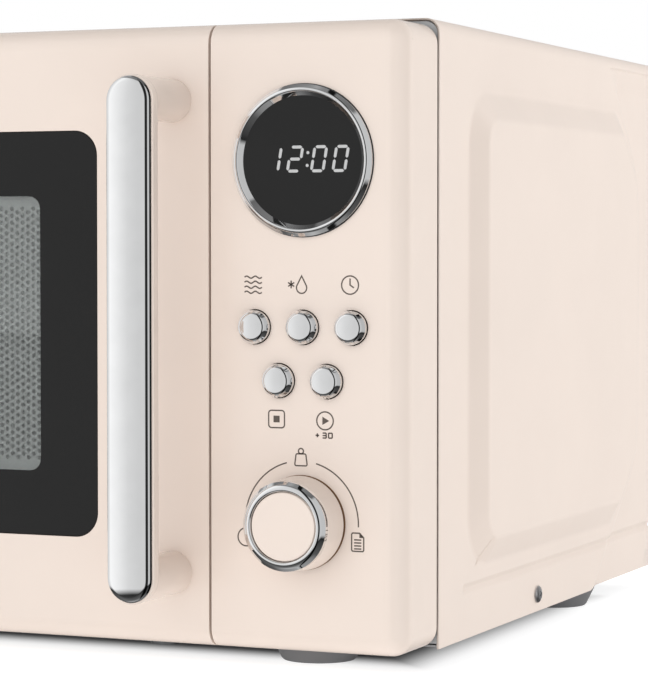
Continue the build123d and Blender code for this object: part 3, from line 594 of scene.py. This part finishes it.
def make_outer_cover():
    """One pressed sheet: two embossed flanks, the top between two folds, and the back flange."""
    emboss = rounded_outline(EMBOSS_CORNERS, EMBOSS_RADII, 0.0, 2.0)
    tuck = tuck_outline()
    flat, edges = flank_points(tuck)
    made = delaunay_2d_cdt([Vector(p) for p in flat], edges, [], 0, WELD)
    plan = np.array([(v.x, v.y) for v in made[0]])
    triangles = [tuple(f) for f in made[2]]
    heights = flank_height(plan, emboss, tuck)
    parts = []
    for side in (1, -1):
        flank = [from_cover_corner(side * (FLANK_X + h), *place) for place, h in zip(plan, heights)]
        parts.append((flank, triangles))
    top_edge = COVER_HEIGHT - FOLD
    start = FLANK_X - FOLD
    arch = []
    for side in (1, -1):
        angles = [math.radians(90 * k / 8) for k in range(9)]
        bend = [(side * (start + FOLD * math.cos(a)), top_edge + FOLD * math.sin(a)) for a in angles]
        arch += bend if side > 0 else bend[::-1]
    depths = sorted({round(y, 7) for y, z in plan if abs(z - top_edge) < WELD})
    rows = [[from_cover_corner(x, y, z) for x, z in arch] for y in depths]
    parts.append(loft(rows, False, False, closed=False))
    rim = rear_edge(plan, heights, arch)
    opening = [(max(-FLANGE_X, min(FLANGE_X, x)), min(z, FLANGE_Z)) for x, z in rim]
    rows = [[from_cover_corner(x, COVER_DEPTH, z) for x, z in outline] for outline in (rim, opening)]
    parts.append(loft(rows, False, False, closed=False))
    cover = add_object("cover_sheet", joined(parts), "cream_paint", "cabinet")
    thick = cover.modifiers.new("sheet", "SOLIDIFY")
    thick.thickness = SHEET
    thick.offset = -1.0
    even_shading(cover, 40)
    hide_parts("outer_cover")


# ---------------------------------------------------------------- handle
HANDLE_BACK = 5.4 * MM
HANDLE_CORNER = 2.2 * MM
POST_RADIUS = 8.5 * MM
POST_ROOT = 5.5 * MM
STRIP_WALL = 0.55 * MM
STRIP_BEVEL = (0.40 * MM, 0.85 * MM)
# Rolls from the strip's steep edge to its crown: from and to an angle, with a radius.
STRIP_ROLLS = ((58, 33, 0.8 * MM), (33, 11, 4.6 * MM))


def make_handle_bar():
    """Cream bar on two posts with hollowed roots."""
    low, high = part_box("handle_bar")
    x = (low.x + high.x) / 2
    half = (high.x - low.x) / 2
    front = low.y
    back = front + HANDLE_BACK
    spine = (low.z + half, high.z - half)
    sections = [(0.35 * MM, 0.0), (0.10 * MM, 0.10 * MM), (0.0, 0.35 * MM)]
    turns = [math.radians(90 * k / 8) for k in range(9)]
    for angle in turns:
        inset = HANDLE_CORNER * (1 - math.cos(angle))
        sections.append((inset, HANDLE_BACK - HANDLE_CORNER + HANDLE_CORNER * math.sin(angle)))
    rings = [stadium(x, *spine, half - inset, front + depth) for inset, depth in sections]
    bar = add_object("handle_grip", loft(rings), "cream_plastic", "door")
    for z, inward in ((high.z - POST_RADIUS, -1), (low.z + POST_RADIUS, 1)):
        rings = [stadium_towards(x, z, inward * POST_ROOT, POST_RADIUS, back - 3 * MM)]
        for angle in turns:
            reach = POST_ROOT * (1 - math.sin(angle))
            y = back + POST_ROOT * (1 - math.cos(angle))
            rings.append(stadium_towards(x, z, inward * reach, POST_RADIUS, y))
        for trim in (0.3 * MM, 0.0):
            rings.append(stadium_towards(x, z, 0.0, POST_RADIUS - (0.3 * MM - trim), high.y - trim))
        combine(bar, loft(rings), "UNION")
    even_shading(bar, 32)
    bar.visible_shadow = False
    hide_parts("handle_bar")


def make_handle_strip():
    """The chrome strip on the bar's front, steep at its edges and crowned between them."""
    low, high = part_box("handle_trim")
    half = (high.x - low.x) / 2
    thick = high.y - low.y
    spine = (low.z + half, high.z - half)
    bevel_in, bevel_up = STRIP_BEVEL
    sections = [(0.15 * MM, 0.0), (0.0, 0.15 * MM), (0.0, STRIP_WALL), (bevel_in, STRIP_WALL + bevel_up)]
    for steep, shallow, roll in STRIP_ROLLS:
        start, level = sections[-1]
        first = math.radians(steep)
        for k in range(1, 8):
            lean = math.radians(steep + (shallow - steep) * k / 7)
            inset = start + roll * (math.sin(first) - math.sin(lean))
            sections.append((inset, level + roll * (math.cos(lean) - math.cos(first))))
    start, level = sections[-1]
    for k in range(1, 15):
        share = k / 14
        inset = start + (half - start) * share
        sections.append((min(inset, half - 1e-5), level + (thick - level) * (1 - (1 - share) ** 2)))
    x = (low.x + high.x) / 2
    rings = [stadium(x, *spine, half - inset, high.y - depth) for inset, depth in sections]
    strip = add_object("handle_strip", loft(rings), "chrome", "door", FINEST_WELD)
    even_shading(strip, 18)
    strip.visible_shadow = False
    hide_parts("handle_trim")


def stadium_towards(x, z, reach, radius, y):
    """A ring around a spine that runs up or down from z."""
    return stadium(x, min(z, z + reach), max(z, z + reach), radius, y)


# ---------------------------------------------------------------- printed symbols and clock digits
def stroke(path, width, face, closed=False):
    """A flat line of paint along (x, z) points, standing just proud of a face at Y = face."""
    path = [np.array(p, float) for p in path]
    count = len(path)
    rings = []
    for i, point in enumerate(path):
        before = path[i - 1] if i > 0 or closed else point
        after = path[(i + 1) % count] if i < count - 1 or closed else point
        first = (point - before) / max(np.linalg.norm(point - before), 1e-12)
        second = (after - point) / max(np.linalg.norm(after - point), 1e-12)
        along = unit(first + second)
        across = left_of(along)
        lean = max(0.5, abs(float(along @ (second if np.linalg.norm(second) > 0.5 else first))))
        left = point + across * width / 2 / lean
        right = point - across * width / 2 / lean
        proud = face - PAINT
        sunk = face + PAINT
        rings.append([
            (left[0], proud, left[1]), (right[0], proud, right[1]),
            (right[0], sunk, right[1]), (left[0], sunk, left[1]),
        ])
    if closed:
        rings.append(rings[0])
    return loft(rings, not closed, not closed)


def patch(outline, face):
    """A filled flat area of paint."""
    return loft([in_plane(outline, y) for y in (face - PAINT, face + PAINT)])


def rounded_box(x, z, width, height, radius):
    """A rectangle with round corners, as a closed path."""
    corners = ((1, 1, 0), (-1, 1, 90), (-1, -1, 180), (1, -1, 270))
    path = []
    for side, level, start in corners:
        cx = x + side * (width / 2 - radius)
        cz = z + level * (height / 2 - radius)
        path += arc(cx, cz, radius, start, start + 90, 5)
    return path


def middle_of(node):
    """The middle of a node's box, as (x, z)."""
    low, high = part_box(node)
    return (low.x + high.x) / 2, (low.z + high.z) / 2


PAINT = 0.04 * MM
LINE = 0.54 * MM
SEGMENTS = {
    "0": "abcdef", "1": "bc", "2": "abged", "3": "abgcd",
}


def seven_segment(text, x, z, width, height, pitch, slant, gap):
    """Segment centre lines of a row of digits; x, z is the first digit's lower left corner."""
    lines = []
    for place, character in enumerate(text):
        left = x + place * pitch
        corner = {
            (side, level): (left + side * width + level * height / 2 * slant, z + level * height / 2)
            for side in (0, 1) for level in (0, 1, 2)
        }
        ends = {
            "a": ((0, 2), (1, 2)), "b": ((1, 2), (1, 1)), "c": ((1, 1), (1, 0)), "d": ((0, 0), (1, 0)),
            "e": ((0, 1), (0, 0)), "f": ((0, 2), (0, 1)), "g": ((0, 1), (1, 1)),
        }
        for name in SEGMENTS[character]:
            start, end = (np.array(corner[key]) for key in ends[name])
            trim = unit(end - start) * gap
            lines.append((tuple(start + trim), tuple(end - trim)))
    return lines


def bar_shape(start, end, width, face):
    """A segment of a digit: a flat bar with pointed ends."""
    start = np.array(start)
    end = np.array(end)
    along = unit(end - start)
    across = left_of(along) * width / 2
    tip = along * width / 2
    outline = [start - tip * 0.6, start + across * 0.75, start + tip * 0.5 + across]
    outline += [end - tip * 0.5 + across, end + across * 0.75, end + tip * 0.6]
    outline += [end - across * 0.75, end - tip * 0.5 - across]
    outline += [start + tip * 0.5 - across, start - across * 0.75]
    return patch([tuple(p) for p in outline], face)


# The clock's digits, and where they and the colon's dots stand from the middle of the lens.
DIGIT = {"width": 4.9 * MM, "height": 9.2 * MM, "slant": 0.17, "gap": 0.62 * MM, "pitch": 9.0 * MM}
DIGIT_PAIRS = (("12", -15.1 * MM), ("00", 3.9 * MM))
DIGIT_BASE = -4.1 * MM
DIGIT_BAR = 1.15 * MM
COLON_DOTS = ((2.5 * MM, 2.9 * MM), (2.2 * MM, -2.0 * MM))
DOT_RADIUS = 0.62 * MM


def make_clock_digits():
    """The clock reads 12:00 in slanted lit segments on the lens."""
    x, z = middle_of("display_lens")
    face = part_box("display_lens")[0].y
    parts = []
    for pair, start in DIGIT_PAIRS:
        lines = seven_segment(pair, x + start, z + DIGIT_BASE, **DIGIT)
        parts += [bar_shape(*ends, DIGIT_BAR, face) for ends in lines]
    parts += [patch(arc(x + dx, z + dz, DOT_RADIUS, 0, 330, 11), face) for dx, dz in COLON_DOTS]
    digits = add_object("clock_digits", joined(parts), "black_lens", "cabinet", finish=lit_segments())
    digits.data.set_sharp_from_angle(angle=0.5)


def lit_segments():
    """Pale segments that glow a little."""
    finish = Finish("lit_segments", (0.42, 0.42, 0.42), 0.4)
    finish.mottle(finish.noise(0.002, 1.0), 0.05)
    finish.shader.inputs["Emission Color"].default_value = (0.9, 0.93, 0.95, 1.0)
    finish.shader.inputs["Emission Strength"].default_value = 0.12
    return finish


# A symbol is drawn in millimetres about its own middle, as paths with whether each one closes.
def wave_symbol():
    """Four wavy lines."""
    shares = [k / 24 for k in range(25)]
    lines = []
    for row in range(4):
        level = (row - 1.5) * 1.95
        lines.append(([((t - 0.5) * 7.4, level + 0.42 * math.sin(t * 4 * math.pi)) for t in shares], False))
    return lines


def frost_symbol():
    """A six-pointed star."""
    return [(arc(0, 0, 1.5, angle - 180, angle, 1), False) for angle in (90, 30, 150)]


def drop_symbol():
    """A water drop."""
    path = arc(0, -1.25, 2.15, -215, 35, 20)
    start, end, tip = np.array(path[0]), np.array(path[-1]), np.array((0, 3.3))
    lead = [end + (tip - end) * t for t in (0.35, 0.7)]
    tail = [tip + (start - tip) * t for t in (0.3, 0.65)]
    return [([*path, *lead, tip, *tail], True)]


def clock_symbol():
    """A clock face with two hands."""
    radius = 3.5
    hand = math.radians(-33)
    reach = radius * 0.55
    hands = [(0, radius * 0.72), (0, 0), (reach * math.cos(hand), reach * math.sin(hand))]
    return [(arc(0, 0, radius, 0, 348.75, 31), True), (hands, False)]


def weight_symbol():
    """A kitchen weight with its ring."""
    outline = [(-2.05, 2.3), (2.05, 2.3), (2.65, -2.3), (-2.65, -2.3)]
    return [(rounded_outline(outline, [0.6] * 4, 0.0, 30), True), (arc(0, 3.35, 1.05, 0, 337.5, 15), True)]


def page_symbol():
    """A sheet with one corner cut off and four lines."""
    half, top, fold = 2.5, 3.5, 1.7
    corners = [(-half, -top), (half, -top), (half, top - fold), (half - fold, top), (-half, top)]
    lines = [(rounded_outline(corners, [0.6, 0.6, 0.2, 0.2, 0.6], 0.0, 30), True)]
    for row in range(4):
        level = 0.9 - 1.15 * row
        lines.append(([(-half * 0.6, level), (half * 0.6, level)], False))
    return lines


def plus_thirty():
    """A plus sign and the number 30, for the start button's extra seconds."""
    arm = 0.75
    number = seven_segment("30", 2.2, -0.95, width=1.5, height=1.9, pitch=2.5, slant=0.0, gap=0.0)
    return [(path, False) for path in number + [((-arm, 0), (arm, 0)), ((0, -arm), (0, arm))]]


def make_symbols():
    """Thin printed symbols, placed from the middle of a button or of the knob."""
    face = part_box("control_panel")[0].y
    scale = [(arc(0, 0, 23.8, 75, -2, 40), False), (arc(0, 0, 23.8, 105, 182, 40), False)]
    symbols = (
        ("power_button", -0.7, 16.3, wave_symbol()),
        ("defrost_button", -4.9, 16.5, frost_symbol()),
        ("defrost_button", -0.5, 16.5, drop_symbol()),
        ("clock_button", -0.6, 16.4, clock_symbol()),
        ("stop_button", -1.0, -14.9, [(rounded_box(0, 0, 6.7, 6.7, 1.2), True)]),
        ("start_button", -0.8, -15.1, [(arc(0, 0, 3.45, 0, 348.75, 31), True)]),
        ("start_button", -4.0, -20.75, plus_thirty()),
        ("knob_body", 0.0, 0.0, scale),
        ("knob_body", -0.2, 24.3, weight_symbol()),
        ("knob_body", -23.5, -6.5, clock_symbol()),
        ("knob_body", 23.5, -6.6, page_symbol()),
    )
    fills = (
        ("stop_button", -1.0, -14.9, rounded_box(0, 0, 2.6, 2.6, 0.15)),
        ("start_button", -0.8, -15.1, [(-1.1, -1.6), (1.75, 0.0), (-1.1, 1.6)]),
        ("knob_body", 24.2, -4.9, [(0.0, 1.8), (0.0, 0.0), (1.8, 0.0)]),
    )

    def on_panel(node, dx, dz, path):
        x, z = middle_of(node)
        return [(x + (dx + a) * MM, z + (dz + b) * MM) for a, b in path]

    parts = []
    for *place, lines in symbols:
        parts += [stroke(on_panel(*place, path), LINE, face, closed) for path, closed in lines]
    parts += [patch(on_panel(*place, outline), face) for *place, outline in fills]
    ink = add_object("panel_symbols", joined(parts), "cream_plastic", "cabinet", FINE_WELD, symbol_ink())
    ink.data.set_sharp_from_angle(angle=0.5)


def symbol_ink():
    """Brown printing ink."""
    finish = Finish("symbol_ink", (0.105, 0.082, 0.068), 0.45)
    finish.mottle(finish.noise(0.0012, 3.0), 0.12)
    finish.polish(finish.noise(0.001, 2.0), 0.38, 0.55)
    return finish


# ---------------------------------------------------------------- display ring, buttons and knob
def rounded_profile(start, end, steep, roll, steps=12):
    """Points of a convex turned edge: a roll out from a level start, then a cone down to the end."""
    lean = math.radians(steep)
    points = []
    for k in range(steps + 1):
        angle = lean * k / steps
        points.append((start[0] + roll * math.sin(angle), start[1] - roll * (1 - math.cos(angle))))
    radius, height = points[-1]
    run = end[0] - radius
    points.append((end[0], max(end[1], height - run * math.tan(lean))))
    return points + [end]


DISPLAY_RING = [(24.9, 0.0), (24.9, 0.8), (26.3, 2.45), (26.5, 2.7), (26.75, 2.88)]
DISPLAY_RING += rounded_profile((27.0, 2.95), (29.3, 0.12), 42, 1.7) + [(29.3, 0.0)]
# A thin brown ring on the panel under the knob's skirt: painted shade of the gap beneath the skirt.
KNOB_SHADE_RING = [(13.5, 0.0), (13.5, 0.1), (18.42, 0.1), (18.46, 0.0)]
# A thin black ring on the panel just outside the clock's chrome ring: painted shade at the ring's foot.
DISPLAY_SHADE_RING = [(29.0, 0.0), (29.0, 0.14), (29.55, 0.14), (29.62, 0.0)]
BUTTON = [(0.0, 4.36), (1.2, 4.335), (2.4, 4.27), (3.4, 4.18), (4.1, 4.10)]
BUTTON += rounded_profile((4.2, 4.09), (6.6, 0.4), 54, 2.0) + [(6.6, -0.6), (5.0, -0.6)]
KNOB_RING = [(13.5, 14.3), (13.5, 17.6), (13.68, 17.95), (13.95, 18.14)]
KNOB_RING += rounded_profile((14.2, 18.2), (17.2, 14.9), 45, 2.8) + [(17.2, 14.15)]
KNOB_BODY = (
    (0.0, 17.8), (12.5, 17.8), (12.95, 17.68), (13.25, 17.3), (13.35, 16.8), (13.35, 14.2), (16.9, 14.2),
    (17.25, 14.05), (17.4, 13.6), (18.3, 2.0), (18.3, 1.6), (18.15, 1.38), (17.9, 1.3), (13.2, 1.3),
    (13.0, 1.0), (13.0, 0.1), (0.0, 0.1),
)


def turned(node, name, slot, body, profile, sharp_degrees, stands_for=True, finish=None):
    """A piece turned about a node's axis, from (radius, height above the panel) in millimetres."""
    x, z = middle_of(node)
    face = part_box("control_panel")[0].y
    rings = [circle(x, z, max(radius, 0.001) * MM, face - height * MM, 96) for radius, height in profile]
    if profile[0][0] > 0:
        rings.append(rings[0])
    closed = profile[0][0] == 0
    piece = add_object(name, loft(rings, closed, closed), slot, body, FINEST_WELD, finish)
    even_shading(piece, sharp_degrees)
    if stands_for:
        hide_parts(node)


def make_controls():
    """The ring around the clock, five push buttons, the knob with its ring, and thin rings of painted shade
    on the panel at the feet of the clock's ring and of the knob.
    """
    turned("display_ring", "display_bezel", "chrome", "cabinet", DISPLAY_RING, 28)
    # The black ring just past the bezel's edge is painted shade at its foot.
    turned("display_ring", "display_painted_shade_ring", "black_plastic", "cabinet", DISPLAY_SHADE_RING, 28, False)
    for word in ("power", "defrost", "clock", "stop", "start"):
        turned(f"{word}_button", f"{word}_cap", "chrome", f"{word}_button", BUTTON, 24)
    turned("knob_ring", "knob_bezel", "chrome", "knob", KNOB_RING, 28)
    # The brown ring is painted shade: the shadow in the gap under the knob's skirt.
    gap_shade = moulded_plastic("knob_gap_painted_shade", (0.20, 0.105, 0.05), 0.5, 0.0010, 1e-5)
    turned("knob_body", "knob_painted_shade_ring", "cream_plastic", "cabinet", KNOB_SHADE_RING, 28, False, gap_shade)
    turned("knob_body", "knob_shell", "cream_plastic", "knob", KNOB_BODY, 28)


# ---------------------------------------------------------------- cover screws
SCREW_RADIUS = 3.7 * MM
SCREW_RISE = 1.9 * MM
SCREW_SHOULDER = math.radians(78)
SCREW_TURN = math.radians(23)
SIDE_SCREW = (120.0 * MM, 7.5 * MM)
REAR_SCREWS = ((207 * MM, 60 * MM), (207 * MM, 190 * MM), (100 * MM, 239 * MM))
SLOT_HALF = (2.1, 0.42)


def make_screw_head():
    """One domed head with a cross recess, facing -Y at the origin."""
    profile = [(0.001 * MM, SCREW_RISE)]
    for k in range(1, 8):
        angle = SCREW_SHOULDER * k / 7
        radius = SCREW_RADIUS * math.sin(angle) / math.sin(SCREW_SHOULDER)
        profile.append((radius, SCREW_RISE * math.cos(angle) ** 0.8))
    profile += [(SCREW_RADIUS, 0.0), (SCREW_RADIUS * 0.9, -0.3 * MM)]
    rings = [circle(0, 0, radius, -height, 40) for radius, height in profile]
    head = add_object("screw_sample", loft(rings), "screw_steel", "cabinet")
    for along, across in (SLOT_HALF, SLOT_HALF[::-1]):
        corners = [(-along, -across), (along, -across), (along, across), (-along, across)]
        cut = [
            [(a * share * MM, y * MM, b * share * MM) for a, b in corners]
            for y, share in ((-3, 1.0), (-0.5, 0.6))
        ]
        combine(head, loft(cut), "DIFFERENCE")
    return head


def make_screws():
    """One head low on each flank and six on the back, each turned a little further."""
    sample = make_screw_head()
    along, up = SIDE_SCREW
    places = [((side * FLANK_X, COVER_LOW.y + along, COVER_LOW.z + up), side) for side in (-1, 1)]
    for x, z in REAR_SCREWS:
        places += [((side * x, COVER_HIGH.y, COVER_LOW.z + z), 0) for side in (-1, 1)]
    parts = []
    for count, (place, side) in enumerate(places):
        turn = SCREW_TURN * count
        points = []
        for vertex in sample.data.vertices:
            a, out, b = vertex.co.x, -vertex.co.y, vertex.co.z
            a, b = a * math.cos(turn) - b * math.sin(turn), a * math.sin(turn) + b * math.cos(turn)
            if side:
                points.append((place[0] + side * out, place[1] + a, place[2] + b))
            else:
                points.append((place[0] + a, place[1] + out, place[2] + b))
        parts.append((points, [tuple(polygon.vertices) for polygon in sample.data.polygons]))
    bpy.data.objects.remove(sample)
    heads = add_object("screw_heads", joined(parts), "screw_steel", "cabinet", FINE_WELD)
    heads.data.set_sharp_from_angle(angle=math.radians(32))
    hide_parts("cover_screws")


# ---------------------------------------------------------------- window and screen
SCREEN_MARGIN = 25.8 * MM
WINDOW_GAP = 0.2 * MM
WINDOW_LIP = 6.2 * MM
ZONE_CORNER = 5.0 * MM
PANE_CORNER = 9.8 * MM
PANE_EDGE = 0.25 * MM
HOLE_PITCH = 2.83 * MM
HOLE_COLUMN = HOLE_PITCH * math.sqrt(3) / 2
HOLE_MARGINS = (1.2 * MM, 3.6 * MM)
HOLE_RADIUS = 0.52 * MM
DIMPLE_RADIUS = 1.02 * MM
# A cell of the screen: eight points around its edge and eight around its hole.
CELL_EDGE = ((-1, -1), (0, -1), (1, -1), (1, 0), (1, 1), (0, 1), (-1, 1), (-1, 0))
CELL_HOLE = [(math.cos(a), math.sin(a)) for a in (math.radians(45 * k - 135) for k in range(8))]
PAN_SHEET = 0.8 * MM
DISH_MARGIN = 14.0 * MM


def window_zone():
    """The see-through zone: its lowest and highest corner as (x, z)."""
    low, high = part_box("door_window")
    inset = WINDOW_LIP + SCREEN_MARGIN - WINDOW_GAP
    return (low.x + inset, low.z + inset), (high.x - inset, high.z - inset)


def ring_at(corners, radius, y, grow=0.0):
    """A rounded rectangle's ring in the plane Y = y."""
    (x0, z0), (x1, z1) = corners
    path = rounded_box((x0 + x1) / 2, (z0 + z1) / 2, x1 - x0 + 2 * grow, z1 - z0 + 2 * grow, radius + grow)
    return in_plane(path, y)


def make_window():
    """The flush pane: a black printed border around a clear middle, and the hidden lip behind."""
    low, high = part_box("door_window")
    zone = window_zone()
    front = low.y
    back = high.y
    lip = WINDOW_LIP - WINDOW_GAP
    lip_front = back - 1.4 * MM
    outer = ((low.x + lip, low.z + lip), (high.x - lip, high.z - lip))
    levels = (
        (front, -PANE_EDGE), (front + PANE_EDGE, 0.0), (lip_front, 0.0), (lip_front, lip), (back, lip),
    )
    rings = [ring_at(zone, ZONE_CORNER, back), ring_at(zone, ZONE_CORNER, front)]
    rings += [ring_at(outer, PANE_CORNER, y, grow) for y, grow in levels]
    rings.append(rings[0])
    border = add_object("window_border", loft(rings, False, False), "black_glass", "door")
    even_shading(border, 30)
    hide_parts("door_window")
    rings = [ring_at(zone, ZONE_CORNER, y, -0.02 * MM) for y in (front, back)]
    pane = add_object("window_pane", loft(rings), "clear_glass", "door")
    pane.visible_shadow = False
    even_shading(pane, 30)


def rectangle(corners, y):
    """A rectangle in the plane Y = y, from its lowest and highest corner."""
    (x0, z0), (x1, z1) = corners
    return [(x0, y, z0), (x1, y, z0), (x1, y, z1), (x0, y, z1)]


def screen_cell(x, z, front, back):
    """One dimpled hole in its own small rectangle of sheet."""
    rings = [
        [(x + a * HOLE_COLUMN / 2, front, z + b * HOLE_PITCH / 2) for a, b in CELL_EDGE],
        [(x + a * DIMPLE_RADIUS, front, z + b * DIMPLE_RADIUS) for a, b in CELL_HOLE],
        [(x + a * HOLE_RADIUS, back, z + b * HOLE_RADIUS) for a, b in CELL_HOLE],
        [(x + a * HOLE_COLUMN / 2, back, z + b * HOLE_PITCH / 2) for a, b in CELL_EDGE],
    ]
    return loft(rings, False, False)


def make_screen():
    """The steel inner door: a flange, a dish, and rows of real holes behind the window."""
    low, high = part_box("door_pan")
    (x0, z0), (x1, z1) = window_zone()
    front = low.y
    back = front + PAN_SHEET
    margin_x, margin_z = HOLE_MARGINS
    columns = int((x1 - x0 - 2 * margin_x) / HOLE_COLUMN)
    rows = int((z1 - z0 - 2 * margin_z) / HOLE_PITCH)
    half_pitch = HOLE_PITCH / 2
    right = x1 - margin_x
    left = right - columns * HOLE_COLUMN
    bottom = (z0 + z1) / 2 - (rows + 0.5) * half_pitch
    top = bottom + (rows + 0.5) * HOLE_PITCH
    parts = []
    for column in range(columns):
        x = left + (column + 0.5) * HOLE_COLUMN
        lift = half_pitch if column % 2 else 0.0
        for row in range(rows):
            parts.append(screen_cell(x, bottom + (row + 0.5) * HOLE_PITCH + lift, front, back))
        # Every column has half a cell to spare, at its foot or at its head.
        spare = bottom if lift else top - half_pitch
        edges = ((x - HOLE_COLUMN / 2, spare), (x + HOLE_COLUMN / 2, spare + half_pitch))
        parts += [(rectangle(edges, y), [(0, 1, 2, 3)]) for y in (front, back)]
    grid = ((left, bottom), (right, top))
    outer = ((x0 - DISH_MARGIN, z0 - DISH_MARGIN), (x1 + DISH_MARGIN, z1 + DISH_MARGIN))
    wall = DISH_MARGIN - PAN_SHEET
    inner = ((x0 - wall, z0 - wall), (x1 + wall, z1 + wall))
    flange = ((low.x, low.z), (high.x, high.z))
    flange_front = high.y - PAN_SHEET
    steps = (
        (grid, back), (inner, back), (inner, high.y), (flange, high.y), (flange, flange_front),
        (outer, flange_front), (outer, front), (grid, front),
    )
    parts.append(loft([rectangle(corners, y) for corners, y in steps], False, False))
    grey = painted_steel("screen_grey", (0.185, 0.185, 0.185), 0.45)
    pan = add_object("perforated_screen", joined(parts), "black_enamel", "door", finish=grey)
    pan.data.set_sharp_from_angle(angle=0.6)
    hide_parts("door_pan")


# ---------------------------------------------------------------- stage
def area_light(name, place, target, size, power):
    """A square softbox aimed at a point, unseen by the camera and in reflections."""
    data = bpy.data.lights.new(name, "AREA")
    data.size = size
    data.energy = power
    light = placed(name, data)
    light.location = place
    light.rotation_euler = (Vector(target) - Vector(place)).to_track_quat("-Z", "Y").to_euler()
    light.visible_camera = False
    light.visible_glossy = False


# Brightness in reflections, by degrees to the right of straight in front.
CARDS = (
    (-180, 0.45), (-120, 0.55), (-75, 0.78), (-52, 1.08), (-42, 0.96), (-26, 0.76), (-12, 0.68), (2, 0.70),
    (7, 0.02), (27, 0.02), (32, 0.64), (60, 0.60), (88, 0.52), (93, 0.015), (120, 0.015), (126, 0.38),
    (180, 0.45),
)
# And by height: the sine of the elevation.
LEVELS = (
    (-1.0, 0.50), (-0.90, 0.40), (-0.80, 0.16), (-0.5, 0.08), (-0.40, 0.03), (-0.30, 1.0), (0.55, 1.0),
    (0.74, 0.95), (0.79, 0.24), (1.0, 0.36),
)
DIFFUSE_LEVEL = 0.42


def studio_world():
    """White to the camera, even for diffuse light, and a ring of soft cards for reflections."""
    world = bpy.data.worlds.new("studio")
    bpy.context.scene.world = world
    world.use_nodes = True
    tree = world.node_tree
    tree.nodes.clear()

    def node(kind, inputs=(), **settings):
        return add_node(tree, kind, inputs, **settings)

    def ramp(value, end, levels):
        """Grey by a value that runs from -end to end; the levels' own scale does too."""
        share = node("MapRange", {"Value": value, "From Min": -end, "From Max": end})
        made = node("ValToRGB", {"Fac": share.outputs[0]})
        stops = made.color_ramp.elements
        while len(stops) < len(levels):
            stops.new(0.5)
        limit = levels[-1][0]
        for stop, (place, level) in zip(stops, levels):
            stop.position = (place + limit) / (2 * limit)
            stop.color = (level, level, level, 1.0)
        return made.outputs["Color"]

    direction = node("TexCoord").outputs["Generated"]
    parts = node("SeparateXYZ", {0: direction}).outputs
    ahead = node("Math", {0: parts["Y"], 1: -1.0}, operation="MULTIPLY").outputs[0]
    turn = node("Math", {0: parts["X"], 1: ahead}, operation="ARCTAN2").outputs[0]
    around = ramp(turn, math.pi, CARDS)
    cards = node("Background", {"Color": around, "Strength": ramp(parts["Z"], 1.0, LEVELS)})
    even = node("Background", {"Color": WHITE, "Strength": DIFFUSE_LEVEL})
    white = node("Background", {"Color": WHITE, "Strength": 1.0})
    rays = node("LightPath").outputs
    unseen = node("MixShader", {"Fac": rays["Is Glossy Ray"], 1: even.outputs[0], 2: cards.outputs[0]})
    whole = node("MixShader", {"Fac": rays["Is Camera Ray"], 1: unseen.outputs[0], 2: white.outputs[0]})
    node("OutputWorld", {"Surface": whole.outputs[0]})


# Each axis with the middle and half the size of the oven's foot.
OVEN_FOOTPRINT = (("X", 0.0, 0.220), ("Y", 0.0175, 0.1335))
# Insets from the footprint's edge: inside the first the painted shadow is full, past the second the glow is
# full.
PAINTED_SHADOW_EDGE = (0.034, 0.006)
FLOOR_GLOW = 0.82


def floor():
    """A wide pale floor that glows, except under the oven, where the missing glow is a painted shadow."""
    mesh = bpy.data.meshes.new("floor")
    half = 9.0
    corners = [(-half, -half, 0), (half, -half, 0), (half, half, 0), (-half, half, 0)]
    mesh.from_pydata(corners, [], [(0, 1, 2, 3)])
    plane = placed("floor", mesh)
    paper = Finish("studio_paper", (0.42, 0.42, 0.42), 0.9)
    paper.mottle(paper.noise(0.3, 2.0), 0.004)
    paper.shader.inputs["Emission Color"].default_value = WHITE
    parts = paper.node("SeparateXYZ", {"Vector": paper.place})
    shares = []
    for axis, centre, half_size in OVEN_FOOTPRINT:
        shifted = paper.node("Math", {0: parts.outputs[axis], 1: centre}, operation="SUBTRACT")
        away = paper.node("Math", {0: shifted.outputs[0]}, operation="ABSOLUTE")
        dark, bright = half_size - PAINTED_SHADOW_EDGE[0], half_size - PAINTED_SHADOW_EDGE[1]
        edges = {"Value": away.outputs[0], "From Min": dark, "From Max": bright}
        shares.append(paper.node("MapRange", edges, interpolation_type="SMOOTHSTEP").outputs[0])
    # Glow only outside the footprint: the dark patch under the oven is a painted shadow.
    outside = paper.node("Math", {0: shares[0], 1: shares[1]}, operation="MAXIMUM")
    glow = paper.node("Math", {0: outside.outputs[0], 1: FLOOR_GLOW}, operation="MULTIPLY")
    paper.drive("Emission Strength", glow.outputs[0])
    mesh.materials.append(paper.material)
    plane.visible_glossy = False


# The camera's place from the cover's lower front edge, its turn in degrees, and its lens.
CAMERA_PLACE = (0.5934, -0.98445, 0.15815)
CAMERA_TILT = 88.0
CAMERA_TURN = 23.22
CAMERA_LENS = 142.64


def camera():
    """The viewing angle: from the right of the front, nearly level, with a long lens."""
    data = bpy.data.cameras.new("camera")
    data.sensor_width = 36.0
    data.lens = CAMERA_LENS
    eye = placed("camera", data)
    eye.location = from_cover_corner(*CAMERA_PLACE)
    eye.rotation_euler = (math.radians(CAMERA_TILT), 0.0, math.radians(CAMERA_TURN))
    bpy.context.scene.camera = eye


def lights():
    """A wide key in front, a strong fill behind the right flank, and a weak one above."""
    middle = (0.0, 0.0, 0.12)
    area_light("key", (-0.25, -2.55, 1.3), middle, 2.8, 34.0)
    area_light("rear_fill", (1.8, 1.8, 0.95), middle, 1.8, 40.0)
    area_light("top_fill", (0.2, 0.4, 2.4), middle, 1.6, 10.0)


# ---------------------------------------------------------------- put together
bpy.context.scene.view_settings.view_transform = "Standard"
camera()
studio_world()
lights()
floor()
finish_cad_nodes()
make_outer_cover()
make_handle_bar()
make_handle_strip()
make_clock_digits()
make_symbols()
make_controls()
make_screws()
make_window()
make_screen()
